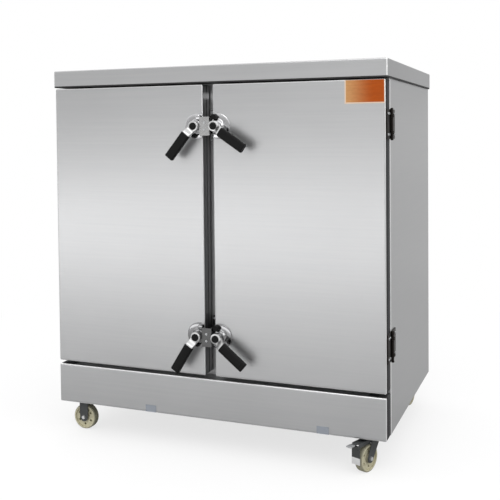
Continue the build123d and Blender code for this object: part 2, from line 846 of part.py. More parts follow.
def lever(side, z, droop):
    """A latch lever: hub, raised neck and a tang inside the grip, with a lug towards the keeper."""
    top_view, side_view = lever_planes(side, z, droop)
    arm_front = lever_rise + lever_arm_thickness
    tang_back = lever_rise + (lever_arm_thickness - tang_thickness) / 2
    tang_front = tang_back + tang_thickness
    r = lever_hub
    a = grip_start - fit
    with BuildPart() as bar:
        with BuildSketch(top_view):
            Circle(lever_hub)
            with Locations((a / 2, 0)):
                Rectangle(a, lever_neck)
            with Locations((a + tang_length / 2, 0)):
                Rectangle(tang_length, tang_width)
        extrude(amount=arm_front)
        with BuildSketch(side_view):
            with BuildLine():
                Polyline(
                    (-2 * r, 0),
                    (r - lever_slope, 0),
                    (lever_bend, -lever_rise),
                    (a, -lever_rise),
                    (a, -tang_back),
                    (a + tang_length, -tang_back),
                    (a + tang_length, -tang_front),
                    (a, -tang_front),
                    (a, -arm_front),
                    (lever_bend - lever_slope, -arm_front),
                    (r - lever_slope, -lever_hub_thickness),
                    (-2 * r, -lever_hub_thickness),
                    close=True,
                )
            make_face()
        extrude(amount=lever_neck, both=True, mode=Mode.INTERSECT)
        fillet(bar.faces().sort_by(Axis.Y)[0].edges(), lever_round)
        lug_reach = side * (lever_lug - lever_lug_width / 2)
        with BuildSketch(front_plane(front_y - lever_stand)):
            with Locations((side * latch_offset - lug_reach / 2, z)):
                Rectangle(abs(lug_reach), lever_lug_width)
            with Locations((side * latch_offset - lug_reach, z)):
                Circle(lever_lug_width / 2)
        extrude(amount=lever_lug_thickness)
        pivot = (side * latch_offset, front_y - lever_stand, z)
        disc(pivot, (0, -1, 0), latch_pin + running_fit, lever_hub_thickness, Mode.SUBTRACT)
    return bar.part


def grip(side, z, droop):
    """The sleeve pushed over the tang of a lever."""
    side_view = lever_planes(side, z, droop)[1]
    middle = lever_rise + lever_arm_thickness / 2
    start = side_view.from_local_coords((grip_start, -middle, 0))
    end_view = Plane(origin=start, x_dir=side_view.z_dir, z_dir=side_view.x_dir)
    with BuildPart() as sleeve:
        with BuildSketch(end_view):
            RectangleRounded(grip_width, grip_thickness, grip_round)
        extrude(amount=grip_length)
        with BuildSketch(end_view):
            Rectangle(tang_width + 2 * fit, tang_thickness + 2 * fit)
        extrude(amount=tang_length, mode=Mode.SUBTRACT)
    return sleeve.part


for side, word in ((-1, "left"), (1, "right")):
    save(door_skin(side), word + "_door_skin")
    save(door_inner(side), word + "_door_inner")
    save(door_foam(side), word + "_door_foam")
    save(door_gasket(side), word + "_door_gasket")
    save(door_leaves(side), word + "_hinge_leaves")
    save(latch_bases(side), word + "_latch_bases")
    save(latch_caps(side), word + "_latch_caps")
    save(door_screws(side), word + "_door_screws")

for side, z, droop, word in (
    (-1, latch_z[0], upper_left_angle, "upper_left"),
    (1, latch_z[0], upper_right_angle, "upper_right"),
    (-1, latch_z[1], lower_left_angle, "lower_left"),
    (1, latch_z[1], lower_right_angle, "lower_right"),
):
    save(lever(side, z, droop), word + "_lever")
    save(grip(side, z, droop), word + "_grip")

# Caster levels, from the mounting face down.
plate_z1 = caster_height - fit
plate_z0 = plate_z1 - caster_plate_thickness
race_z0 = plate_z0 - race_height
web_z1 = race_z0 - fit
web_z0 = web_z1 - fork_sheet
leg_y = wheel_width / 2 + fork_side_gap
axle_end = leg_y + fork_sheet + fit

# Top plates of the swivel casters, with the ball race and the king pin under them.
with BuildPart() as caster_plates:
    with BuildSketch(Plane.XY.offset(plate_z0)):
        with Locations(*swivel_spots):
            RectangleRounded(caster_plate_x, caster_plate_y, pin_head)
            with GridLocations(caster_bolt_x, caster_bolt_y, 2, 2):
                Circle(caster_bolt_hole, mode=Mode.SUBTRACT)
    extrude(amount=caster_plate_thickness)
    for x, y in swivel_spots:
        disc((x, y, plate_z0), (0, 0, -1), race_radius, race_height)
        disc((x, y, race_z0), (0, 0, -1), king_pin, 2 * fit + fork_sheet)
        disc((x, y, web_z0 - fit), (0, 0, -1), king_head, king_head_height)
save(caster_plates.part, "caster_plates")

# Bolts that hold the plates to the pads, each with its nut.
with BuildPart() as caster_bolts:
    pad_top = skirt_z0 + pad_thickness + fit
    head_z = plate_z0 - fit
    for low, radius, height in (
        (head_z - caster_head_height, caster_head, caster_head_height),
        (pad_top, caster_head, caster_head_height),
    ):
        with BuildSketch(Plane.XY.offset(low)):
            with Locations(*caster_spots):
                with GridLocations(caster_bolt_x, caster_bolt_y, 2, 2):
                    RegularPolygon(radius, 6)
        extrude(amount=height)
    with BuildSketch(Plane.XY.offset(pad_top)):
        with Locations(*caster_spots):
            with GridLocations(caster_bolt_x, caster_bolt_y, 2, 2):
                Circle(caster_bolt_hole)
    extrude(amount=caster_head_height, mode=Mode.SUBTRACT)
    with BuildSketch(Plane.XY.offset(head_z)):
        with Locations(*caster_spots):
            with GridLocations(caster_bolt_x, caster_bolt_y, 2, 2):
                Circle(caster_bolt)
    extrude(amount=pad_top + caster_head_height - head_z)
save(caster_bolts.part, "caster_bolts")

# Swivel casters are drawn with the swivel axis at the origin and the wheel towards +X.
# Fixed casters are drawn with their wheel at the same place, under their own plate.
brake_x = caster_trail + wheel_radius + brake_pin + brake_tread_gap
brake_z = web_z1 - brake_pivot_z
housing_z0 = 2 * wheel_radius + brake_housing_gap
ear = brake_width / 2
ear_inner = ear - fork_sheet
fixed_shape = (plate_z0, caster_trail - fixed_leg, caster_trail + fixed_leg, fixed_foot)
swivel_shape = (web_z1, -fork_root_back, fork_root_front, fork_foot)


def fork(fixed, braked):
    """Caster fork with its axle and nut, with its own plate or a web, and a brake housing if it has one."""
    leg_top, leg_back, leg_front, foot = fixed_shape if fixed else swivel_shape
    with BuildPart() as body:
        if fixed:
            with BuildSketch(Plane.XY.offset(plate_z0)) as plate:
                with Locations((caster_trail, 0)):
                    RectangleRounded(caster_plate_x, caster_plate_y, pin_head)
                    with GridLocations(caster_bolt_x, caster_bolt_y, 2, 2):
                        Circle(caster_bolt_hole, mode=Mode.SUBTRACT)
            extrude(plate.sketch, amount=caster_plate_thickness)
        else:
            disc((0, 0, web_z0), (0, 0, 1), fork_web, fork_sheet)
        for y in (-leg_y, leg_y + fork_sheet):
            with BuildSketch(front_plane(y)):
                with BuildLine():
                    Line((leg_back, leg_top), (leg_front, leg_top))
                    CenterArc((caster_trail, wheel_radius), foot, 0, 360)
                make_hull()
            extrude(amount=fork_sheet)
        if braked:
            start = brake_housing_start
            box(start, brake_x - brake_barrel - fork_sheet, -ear, ear, web_z0 - fork_sheet, web_z1)
            for s in (-1, 1):
                box(start, brake_x, s * ear_inner, s * ear, housing_z0, web_z1)
                disc((brake_x, s * ear_inner, brake_z), (0, s, 0), brake_boss, fork_sheet)
                spot = (brake_x, s * ear_inner, brake_z)
                disc(spot, (0, s, 0), brake_pin + running_fit, fork_sheet, Mode.SUBTRACT)
            half = brake_tab_width / 2
            box(start, brake_x + brake_tab_length, -half, half, web_z1 - fork_sheet, web_z1)
            box(brake_x, brake_x + brake_lip, -ear, ear, web_z1 - fork_sheet, web_z1)
            pin_end = ear + brake_pin_end
            disc((brake_x, -pin_end, brake_z), (0, 1, 0), brake_pin, 2 * pin_end)
        if not fixed:
            disc((0, 0, web_z0), (0, 0, 1), king_pin + running_fit, fork_sheet, Mode.SUBTRACT)
        for s in (-1, 1):
            spot = (caster_trail, s * leg_y, wheel_radius)
            disc(spot, (0, s, 0), axle_radius + running_fit, fork_sheet, Mode.SUBTRACT)
        long_side = axle_end + axle_nut_height + fit
        disc((caster_trail, -axle_end, wheel_radius), (0, 1, 0), axle_radius, axle_end + long_side)
        for y, bore in ((-axle_end - axle_nut_height, 0), (axle_end, axle_radius + running_fit)):
            with BuildSketch(Plane(origin=(caster_trail, y, wheel_radius), z_dir=(0, 1, 0))):
                RegularPolygon(axle_nut, 6)
                if bore:
                    Circle(bore, mode=Mode.SUBTRACT)
            extrude(amount=axle_nut_height)
    return body.part


with BuildPart() as wheel:
    w = wheel_width / 2
    disc((caster_trail, -w, wheel_radius), (0, 1, 0), wheel_radius, wheel_width)
    fillet(wheel.edges().filter_by(GeomType.CIRCLE), wheel_recess)
    for s in (-1, 1):
        with BuildSketch(Plane(origin=(caster_trail, s * w, wheel_radius), z_dir=(0, -s, 0))):
            Circle(wheel_radius - wheel_rim)
            Circle(wheel_hub, mode=Mode.SUBTRACT)
        extrude(amount=wheel_recess, mode=Mode.SUBTRACT)
    hub_end = leg_y - fit
    disc((caster_trail, -hub_end, wheel_radius), (0, 1, 0), wheel_hub - fit, 2 * hub_end)
    with BuildSketch(Plane(origin=(caster_trail, -w, wheel_radius), z_dir=(0, 1, 0))):
        with PolarLocations(wheel_hole_circle, wheel_hole_count):
            Circle(wheel_hole)
    extrude(amount=wheel_width, mode=Mode.SUBTRACT)
    bore = axle_radius + running_fit
    disc((caster_trail, -hub_end, wheel_radius), (0, 1, 0), bore, 2 * hub_end, Mode.SUBTRACT)

# The pedal plate hangs from its barrel in front of the wheel's tread.
with BuildPart() as brake_pedal:
    inner = ear_inner - fit
    disc((brake_x, -inner, brake_z), (0, 1, 0), brake_barrel, 2 * inner)
    t = brake_thickness / 2
    low = brake_z - brake_boss - fit
    box(brake_x - t, brake_x + t, -inner, inner, low, brake_z)
    box(brake_x - t, brake_x + t, -brake_plate / 2, brake_plate / 2, brake_floor_gap, low)
    disc((brake_x, -inner, brake_z), (0, 1, 0), brake_pin + running_fit, 2 * inner, Mode.SUBTRACT)

fixed_fork = fork(True, False)
for (x, y), word in zip(fixed_spots, ("front_left", "rear_left")):
    place = Location((x - caster_trail, y, 0))
    save(fixed_fork.moved(place), word + "_fork")
    save(wheel.part.moved(place), word + "_wheel")

turns = (front_right_turn, rear_right_turn)
for (x, y), turn, word in zip(swivel_spots, turns, ("front_right", "rear_right")):
    place = Location((x, y, 0), (0, 0, turn))
    save(fork(False, word == "front_right").moved(place), word + "_fork")
    save(wheel.part.moved(place), word + "_wheel")
    if word == "front_right":
        save(brake_pedal.part.moved(place), "brake_pedal")
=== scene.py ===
# %% [markdown]
# # Rice steamer cabinet
# This script dresses a wide steam cabinet for cooking rice in trays. The real
# object is a box of folded stainless sheet with two insulated doors, lever
# latches in the middle, hinges at the sides and four casters below: the left
# pair is rigid, the right pair swivels.
# The solid model comes first and gives the sizes. After the camera and the
# finishes, each step makes one kind of piece over it, from the large pans to
# the screws, and the studio comes last.

# %% Tools and the solid model
import json
from math import acos, cos, pi, radians, sin, sqrt

import bmesh
import bpy
from mathutils import Matrix, Vector


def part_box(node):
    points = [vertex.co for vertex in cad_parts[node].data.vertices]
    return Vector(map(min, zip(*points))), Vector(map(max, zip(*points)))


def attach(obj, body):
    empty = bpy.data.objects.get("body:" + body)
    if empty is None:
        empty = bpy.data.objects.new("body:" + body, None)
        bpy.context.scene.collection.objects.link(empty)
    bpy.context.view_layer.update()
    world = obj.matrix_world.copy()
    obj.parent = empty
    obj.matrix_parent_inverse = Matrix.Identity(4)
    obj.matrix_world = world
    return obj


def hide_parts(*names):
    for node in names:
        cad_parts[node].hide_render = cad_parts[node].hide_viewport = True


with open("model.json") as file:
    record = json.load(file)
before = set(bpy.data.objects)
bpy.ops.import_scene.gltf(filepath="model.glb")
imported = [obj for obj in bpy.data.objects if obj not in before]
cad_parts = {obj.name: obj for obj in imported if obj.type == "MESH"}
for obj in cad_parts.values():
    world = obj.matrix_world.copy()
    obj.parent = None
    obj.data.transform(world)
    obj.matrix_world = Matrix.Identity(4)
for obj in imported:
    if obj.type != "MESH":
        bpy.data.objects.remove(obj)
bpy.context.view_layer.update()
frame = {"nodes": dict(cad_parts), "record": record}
record = frame["record"]
nodes = frame["nodes"]
joints = {j["name"]: j for j in record["behaviour"]["joints"]}

# %% [markdown]
# ## Camera
# The camera stands at the right of the cabinet, a little over three metres
# away and at the height of its upper latches, and looks almost level. Its
# place was found by matching the corners of the doors, the cap and the skirt.
# The picture is part of a larger frame, so the lens is shifted, which keeps
# the uprights parallel.

# %% Camera
PHOTO = 500.0
FOCAL = 803.72
CENTRE = (266.32, 158.92)
YAW, PITCH, ROLL = radians(20.7526), radians(-1.804), radians(-0.5091)
CAMERA_PLACE, SENSOR = (1.26823, -3.15871, 1.20839), 36
ahead = Vector((-sin(YAW) * cos(PITCH), cos(YAW) * cos(PITCH), sin(PITCH)))
level = Vector((cos(YAW), sin(YAW), 0))
upward = level.cross(ahead)
right = level * cos(ROLL) + upward * sin(ROLL)
upward = upward * cos(ROLL) - level * sin(ROLL)
camera = bpy.data.objects.new("camera", bpy.data.cameras.new("camera"))
bpy.context.collection.objects.link(camera)
turn = Matrix((right, upward, -ahead)).transposed().to_4x4()
camera.matrix_world = Matrix.Translation(CAMERA_PLACE) @ turn
camera.data.sensor_width = SENSOR
camera.data.lens = FOCAL / PHOTO * SENSOR
camera.data.shift_x = (PHOTO / 2 - CENTRE[0]) / PHOTO
camera.data.shift_y = (CENTRE[1] - PHOTO / 2) / PHOTO
bpy.context.scene.camera = camera
print("lens", round(camera.data.lens, 1), "mm")

# %% [markdown]
# ## Shader maths
# A finish is a small sum over noise and place. These classes let a material
# be written as such a sum: a Number is one value at each point of the surface,
# Nodes makes and joins the nodes of any tree, and a Finish is one material.


# %% Shader maths
class Number:
    """A value that changes over the surface, usable in a Python expression."""

    def __init__(self, finish, socket):
        self.finish = finish
        self.socket = socket

    def apply(self, operation, *others):
        values = [self.socket] + [getattr(v, "socket", v) for v in others]
        return self.finish.maths(operation, values)

    def flipped(self, operation, other):
        return self.finish.maths(operation, [other, self.socket])

    def __add__(self, other):
        return self.apply("ADD", other)

    __radd__ = __add__

    def __sub__(self, other):
        return self.apply("SUBTRACT", other)

    def __rsub__(self, other):
        return self.flipped("SUBTRACT", other)

    def __mul__(self, other):
        return self.apply("MULTIPLY", other)

    __rmul__ = __mul__

    def __truediv__(self, other):
        return self.apply("DIVIDE", other)

    def __rtruediv__(self, other):
        return self.flipped("DIVIDE", other)

    def __pow__(self, other):
        return self.apply("POWER", other)

    def least(self, other):
        return self.apply("MINIMUM", other)

    def most(self, other):
        return self.apply("MAXIMUM", other)

    def size(self):
        return self.apply("ABSOLUTE")

    def step(self, start, end):
        """Rises smoothly from 0 at start to 1 at end."""
        made = self.finish.node(
            "ShaderNodeMapRange", {"interpolation_type": "SMOOTHSTEP"},
            Value=self.socket, From_Min=start, From_Max=end)
        return Number(self.finish, made.outputs[0])


class Nodes:
    """Makes nodes in one tree and joins their sockets."""

    def __init__(self, tree):
        self.tree = tree

    def node(self, kind, settings=None, **sockets):
        made = self.tree.nodes.new(kind)
        for word, value in (settings or {}).items():
            setattr(made, word, value)
        for word, value in sockets.items():
            name = word.replace("_", " ")
            self.feed(next(s for s in made.inputs if s.name == name and s.enabled), value)
        return made

    def feed(self, socket, value):
        value = getattr(value, "socket", value)
        if isinstance(value, bpy.types.NodeSocket):
            self.tree.links.new(value, socket)
        else:
            socket.default_value = value

    def mixed(self, share, first, second):
        """A shader between two others."""
        both = self.node("ShaderNodeMixShader")
        for socket, value in zip(both.inputs, (share, first.outputs[0], second.outputs[0])):
            self.feed(socket, value)
        return both


class Finish(Nodes):
    """One material: its nodes, and the values that vary over the surface."""

    def __init__(self, name, roughness=0.4, metallic=0.0, **constant):
        self.material = bpy.data.materials.new(name)
        self.material.use_nodes = True
        super().__init__(self.material.node_tree)
        self.shader = self.tree.nodes["Principled BSDF"]
        self.shader.inputs["Roughness"].default_value = roughness
        self.shader.inputs["Metallic"].default_value = metallic
        for word, value in constant.items():
            self.shader.inputs[word.replace("_", " ")].default_value = value
        self.place = self.node("ShaderNodeTexCoord").outputs["Object"]
        parts = self.node("ShaderNodeSeparateXYZ", Vector=self.place)
        self.x, self.y, self.z = (Number(self, s) for s in parts.outputs)

    def maths(self, operation, values):
        made = self.node("ShaderNodeMath", {"operation": operation})
        for socket, value in zip(made.inputs, values):
            self.feed(socket, value)
        return Number(self, made.outputs[0])

    def noise(self, scale, detail=2.0, rough=0.5, shift=(0, 0, 0)):
        """Noise between 0 and 1, with its own scale along X, Y and Z."""
        at = self.node("ShaderNodeMapping", Vector=self.place, Scale=scale, Location=shift)
        made = self.node(
            "ShaderNodeTexNoise", Vector=at.outputs[0], Scale=1.0, Detail=detail, Roughness=rough)
        return Number(self, made.outputs[0])

    def blend(self, first, second, share):
        """A colour between two others."""
        made = self.node("ShaderNodeMix", {"data_type": "RGBA"})
        self.feed(made.inputs[0], share)
        for socket, value in ((made.inputs[6], first), (made.inputs[7], second)):
            if isinstance(value, tuple):
                value = value + (1.0,)
            self.feed(socket, value)
        return made.outputs[2]

    def shade(self, colour, factor):
        """A colour made lighter or darker by a factor near 1."""
        made = self.node("ShaderNodeVectorMath", {"operation": "SCALE"})
        self.feed(made.inputs[0], colour)
        self.feed(made.inputs["Scale"], factor)
        return made.outputs[0]

    def paint_shade(self, share, colour, rough):
        """Painted shade: a dark matt film over part of the surface, with no gloss at flat angles."""
        shade_film = self.node(
            "ShaderNodeBsdfPrincipled", Base_Color=colour + (1.0,), Roughness=rough,
            Specular_IOR_Level=0.0)
        both = self.mixed(share, self.shader, shade_film)
        self.feed(self.tree.nodes["Material Output"].inputs["Surface"], both.outputs[0])

    def done(self, colour, roughness, bump=None, depth=0.001):
        """Feed the shader and give the material."""
        self.feed(self.shader.inputs["Base Color"], colour)
        self.feed(self.shader.inputs["Roughness"], roughness)
        if bump is not None:
            raised = self.node("ShaderNodeBump", Height=bump, Distance=depth)
            self.feed(self.shader.inputs["Normal"], raised.outputs[0])
        return self.material


print("shader maths ready")

# %% [markdown]
# ## Finishes
# Brushed sheet is rolled steel rubbed along one direction with abrasive, so
# its scratches run level on every outer face. Noise stretched along the grain
# gives the fine scratches, a wider noise the soft cloudy patches that hands
# and wiping leave, and both also change how rough the surface is.


# %% Sheet steel
# Near white of the painted highlight on the bends.
HIGHLIGHT_WHITE = (0.96, 0.96, 0.96)
# Colour and roughness of the dark film that paints shade on the returns.
SHADE_COLOUR, SHADE_ROUGH = (0.045, 0.045, 0.047), 0.8


def brushed(name, grain, tone=0.5, rough=0.34, trim=None):
    """Brushed steel with its grain along X (grain=0) or Y (grain=1)."""
    f = Finish(name, metallic=1.0)
    fine = [900.0, 900.0, 900.0]
    wide = [110.0, 110.0, 110.0]
    fine[grain] = 7.0
    wide[grain] = 1.6
    scratches = f.noise(fine, 3.0, 0.6)
    streaks = f.noise(wide, 3.0, 0.55)
    clouds = f.noise((2.2, 2.2, 2.6), 3.0, 0.5, (3, 1, 7))
    cool = (tone * 0.93, tone * 0.94, tone * 0.96)
    steel = f.blend(cool, (tone * 1.05, tone * 1.05, tone * 1.05), streaks)
    lit = 0.93 + 0.06 * clouds + 0.08 * scratches
    colour = f.shade(steel, lit)
    worn = rough - 0.05 + 0.07 * clouds + 0.06 * streaks
    if trim:
        painted_highlight, painted_shade = trim(f)
        # Painted highlight: the bend mask blends the steel towards near white.
        colour = f.blend(colour, HIGHLIGHT_WHITE, painted_highlight)
        # Painted shade: the dark film is mixed in where the trim's shade mask is set.
        if painted_shade is not None:
            f.paint_shade(painted_shade, SHADE_COLOUR, SHADE_ROUGH)
    return f.done(colour, worn, scratches, 0.00004)


steel_front = brushed("brushed_steel_front", 0)
steel_dull = brushed("mill_finish_steel", 0, 0.46, 0.42)
print("plain sheet finishes", steel_front.name, steel_dull.name)

# %% [markdown]
# Folded edges get a painted highlight: the bend is painted near white where
# its rounded edge catches the light. On the doors and the skirt the returns
# behind the bends sit in the shade of their joints, and that shade is painted
# on them as a dark matt film. The film is a second shader, mixed in a few
# millimetres behind the face: a dark base colour alone would still mirror the room at a flat angle.

# %% Bright bends and dark returns
EDGE = 0.004
BEND_START, BEND_END, SHADE_FULL_AT = 0.0006, EDGE + 0.001, EDGE + 0.002
OUTER_SIDE = 0.6
SEAM, SEAM_WIDTH = 0.034, 0.006
GLINT_LOW, GLINT_HIGH = 0.052, 0.03
SIDE_FOLD = 0.015


def between(value, start, end, soft=0.0006):
    """1 where the value lies between two limits, 0 outside them."""
    return value.step(start - soft, start + soft) * (1.0 - value.step(end - soft, end + soft))


def pan_trim(box_low, box_high, seam=False):
    """Painted highlight on the front bends and painted shade on the returns of a pan whose face is at
    box_low.
    """

    def trim(f):
        deep = f.y - box_low[1]
        # Painted highlight along the rounded bend.
        bend = between(deep, BEND_START, BEND_END)
        # Painted shade on the returns behind the bend, fuller at the outer sides; in the middle gap the
        # seam line is darkest.
        dark = deep.step(BEND_END, SHADE_FULL_AT)
        outer = f.x.size().step(OUTER_SIDE, OUTER_SIDE + 0.01)
        shade = 0.5 + (0.5 - 0.1 * deep.step(0.02, 0.04)) * outer
        if seam:
            shade = shade.most(between(deep, SEAM, SEAM + SEAM_WIDTH) * (1.0 - outer))
            top = box_high[2]
            # Painted glint: a bright patch on the middle returns a little below the top, where the dark
            # film is lifted.
            painted_glint = between(f.z, top - GLINT_LOW, top - GLINT_HIGH, 0.006) * (1.0 - outer)
            shade = shade * (1.0 - 0.9 * painted_glint)
            bend = bend.most(painted_glint * dark)
        return bend, dark * shade

    return trim


skirt_low, skirt_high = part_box("skirt_panel")
door_low, door_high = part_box("right_door_skin")
steel_door = brushed("brushed_steel_door", 0, trim=pan_trim(door_low, door_high, seam=True))
steel_skirt = brushed("brushed_steel_skirt", 0, trim=pan_trim(skirt_low, skirt_high))


def side_trim(f):
    """A painted highlight along the front fold of a side panel."""
    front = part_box("right_side_panel")[0][1]
    # Painted highlight: near white for the first few millimetres behind the front.
    return 1.0 - (f.y - front).step(SIDE_FOLD - 0.001, SIDE_FOLD + 0.001), None


steel_side = brushed("brushed_steel_side", 1, 0.54, trim=side_trim)
print("door face at", round(door_low[1], 4), "skirt face at", round(skirt_low[1], 4))

# %% [markdown]
# Zinc-plated steel and brass are not brushed: they show the crystal pattern
# of their plating or the turning marks of a lathe. Chrome and satin steel low
# down on the doors get a painted shade for the darker floor they mirror there.


# %% Plated and turned metal
def plain_metal(name, colour, rough, patch, dent=0.00004, shade=0.82, low_shade=0.0):
    """Metal with soft patches and small marks, and a painted shade low down."""
    f = Finish(name, metallic=1.0)
    patches = f.noise((patch, patch, patch), 3.0, 0.6)
    marks = f.noise((240.0, 240.0, 240.0), 4.0, 0.6, (1, 5, 2))
    dark = tuple(c * shade for c in colour)
    mixed = f.blend(dark, colour, patches)
    # Painted shade: darker below a height of 0.7 to 0.9 m.
    low_darkening = 1.0 - low_shade * (1.0 - f.z.step(0.7, 0.9))
    return f.done(f.shade(mixed, (0.94 + 0.1 * marks) * low_darkening), rough - 0.06 + 0.14 * patches, marks, dent)


FINE = 0.00001
zinc = plain_metal("zinc_plate", (0.55, 0.56, 0.57), 0.42, 35.0)
brass = plain_metal("brass", (0.72, 0.52, 0.24), 0.3, 25.0)
chrome = plain_metal("chrome", (0.6, 0.6, 0.61), 0.14, 22.0, FINE, low_shade=0.45)
cast_chrome = plain_metal("cast_chrome", (0.62, 0.62, 0.62), 0.33, 30.0, FINE, 0.93, 0.2)
satin = plain_metal("satin_steel", (0.5, 0.5, 0.5), 0.24, 14.0, FINE, 0.9, 0.7)
hinge_dark = plain_metal("hinge_bronze", (0.026, 0.022, 0.02), 0.44, 60.0)
caster_dark = plain_metal("caster_grey", (0.075, 0.079, 0.079), 0.46, 45.0)
print("metals", len([zinc, brass, chrome, cast_chrome, satin, hinge_dark, caster_dark]))

# %% [markdown]
# Plastic, rubber and foam have no metal in them. Their colour varies a
# little, and a fine grain from the mould breaks up the gloss.


# %% Plastic, rubber and foam
def moulded(name, colour, rough, grain, lift, depth=0.0001, **constant):
    """Moulded plastic or rubber with a fine grain."""
    f = Finish(name, **constant)
    tone = f.noise((30.0, 30.0, 30.0), 3.0)
    fine = f.noise((grain, grain, grain), 3.0, 0.6, (2, 4, 8))
    light = tuple(c + lift * (0.3 - c) for c in colour)
    return f.done(f.blend(colour, light, tone), rough - 0.08 + 0.16 * fine, fine, depth)


black_plastic = moulded(
    "black_plastic", (0.003, 0.003, 0.003), 0.5, 500.0, 0.006, Specular_IOR_Level=0.14)
black_rubber = moulded("black_rubber", (0.008, 0.008, 0.008), 0.66, 900.0, 0.02)
foam = moulded("rigid_foam", (0.72, 0.62, 0.38), 0.9, 260.0, 0.2, 0.0008)
pale_label = moulded("pale_plate", (0.24, 0.262, 0.3), 0.4, 400.0, 0.1)
print("soft finishes", black_plastic.name, black_rubber.name, foam.name, pale_label.name)

# %% [markdown]
# A caster wheel is cream nylon that greys where it rolls. The finish finds
# the distance of each point from the wheel's axle, and turns darker near the
# tread and round the hub. The fork is painted, and only
# its axle bolt and nut are bare, so the same distance picks them out.


# %% Caster finishes
def from_axle(f, wheel):
    """Distance from the axle line of a wheel, and the distance along it."""
    joint = joints[wheel + "_wheel_axle"]
    centre, axis = Vector(joint["pos_m"]), Vector(joint["axis"])
    across = Vector((axis.y, -axis.x))
    level = (f.x - centre.x) * across.x + (f.y - centre.y) * across.y
    upright = f.z - centre.z
    along = (f.x - centre.x) * axis.x + (f.y - centre.y) * axis.y
    return (level * level + upright * upright) ** 0.5, along.size()


TREAD_START, TREAD_END = 0.0435, 0.0485
HUB_START, HUB_END = 0.0165, 0.0195
NUT_RADIUS, FORK_FACE = 0.0082, 0.0209
PLATED_BELOW = 0.0655


def wheel_finish(wheel):
    f = Finish("cream_nylon_" + wheel)
    distance, _ = from_axle(f, wheel)
    dust = f.noise((45.0, 45.0, 45.0), 4.0, 0.6)
    fine = f.noise((400.0, 400.0, 400.0), 3.0)
    tread = distance.step(TREAD_START, TREAD_END)
    hub = 1.0 - distance.step(HUB_START, HUB_END)
    cream = f.blend((0.44, 0.41, 0.28), (0.6, 0.57, 0.41), dust)
    worn = f.blend(cream, (0.17, 0.165, 0.12), tread * (0.35 + 0.65 * dust))
    # Darker round the hub.
    darker_hub = f.blend(worn, (0.12, 0.11, 0.085), hub * 0.75)
    return f.done(darker_hub, 0.42 + 0.2 * fine + 0.1 * tread, fine, 0.0001)


def fork_finish(wheel):
    f = Finish("painted_fork_" + wheel)
    distance, along = from_axle(f, wheel)
    near = 1.0 - distance.step(NUT_RADIUS, NUT_RADIUS + 0.0004)
    nut = near * along.step(FORK_FACE, FORK_FACE + 0.0004)
    flecks = f.noise((160.0, 160.0, 160.0), 4.0, 0.7)
    patches = f.noise((30.0, 30.0, 30.0), 3.0)
    paint = f.blend((0.032, 0.035, 0.036), (0.06, 0.064, 0.065), patches)
    f.feed(f.shader.inputs["Metallic"], nut)
    colour = f.blend(paint, (0.82, 0.82, 0.82), nut)
    return f.done(colour, 0.5 - 0.2 * nut + 0.1 * flecks, flecks, 0.00015)


# The pedal is plated where the foot presses it and painted above.
f = Finish("brake_pedal")
plated = 1.0 - f.z.step(PLATED_BELOW, PLATED_BELOW + 0.0015)
flecks = f.noise((160.0, 160.0, 160.0), 4.0, 0.7)
f.feed(f.shader.inputs["Metallic"], plated)
colour = f.blend((0.035, 0.037, 0.037), (0.86, 0.86, 0.86), plated)
pedal = f.done(colour, 0.4 + 0.15 * flecks, flecks, 0.0001)

WHEELS = ("front_left", "front_right", "rear_left", "rear_right")
print("casters", len(WHEELS))

# %% [markdown]
# The plate in the door corner is a printed sheet, bare here: a pale rim round
# a field that runs from peach to rust.

# %% Corner plate
low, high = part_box("corner_plate")
f = Finish("corner_plate", Specular_IOR_Level=0.15)
RIM = 0.0045
inside = (f.x - low[0]).least(f.z - low[2])
field = inside.step(RIM * 0.8, RIM * 1.2) * (high[0] - f.x).step(0.0012, 0.002)
across = (f.x - low[0]) / (high[0] - low[0])
print_grain = f.noise((60.0, 60.0, 160.0), 4.0, 0.6)
rows = f.noise((9.0, 9.0, 170.0), 2.0, 0.5, (5, 0, 2))
warm = f.blend((0.5, 0.27, 0.11), (0.36, 0.066, 0.004), across.step(-0.1, 0.75))
warm = f.shade(warm, 0.72 + 0.3 * print_grain + 0.3 * rows)
orange = f.done(f.blend((0.66, 0.52, 0.4), warm, field), 0.3 + 0.12 * print_grain)
print("corner plate", round(high[0] - low[0], 3), "by", round(high[2] - low[2], 3), "m")

# %% [markdown]
# Every solid takes the finish of its material slot. The side sheets, casters,
# pedal and keepers have a finish of their own, made for their place.

# %% Finishes on the solids
by_slot = {
    "stainless_skin": steel_front, "stainless_inner": steel_dull, "zinc_steel": zinc,
    "brass_pipe": brass, "chrome_casting": chrome, "dark_hinge": hinge_dark,
    "dark_caster": caster_dark, "insulation": foam,
    "black_seal": black_rubber, "black_plastic": black_plastic,
    "orange_plate": orange, "pale_plate": pale_label,
}
for name, thing in nodes.items():
    for place in thing.material_slots:
        word = place.material.name if place.material else ""
        chosen = next((m for s, m in by_slot.items() if s in word), None)
        if chosen is not None:
            place.material = chosen
for name in ("left_side_panel", "right_side_panel"):
    nodes[name].material_slots[0].material = steel_side
for wheel in WHEELS:
    nodes[wheel + "_wheel"].material_slots[0].material = wheel_finish(wheel)
    nodes[wheel + "_fork"].material_slots[0].material = fork_finish(wheel)
nodes["brake_pedal"].material_slots[0].material = pedal
nodes["latch_keepers"].material_slots[0].material = satin
print("finished nodes", len(nodes))

# %% [markdown]
# ## Making shapes
# Every finer piece is a plain mesh with its place already in its points. Two
# small functions link it to the scene and say which moving body it rides on
# and which solids it stands for.

# %% Placing a piece
RIGHT, FRONT, UP = Vector((1, 0, 0)), Vector((0, -1, 0)), Vector((0, 0, 1))
SHARP_FROM = radians(35)


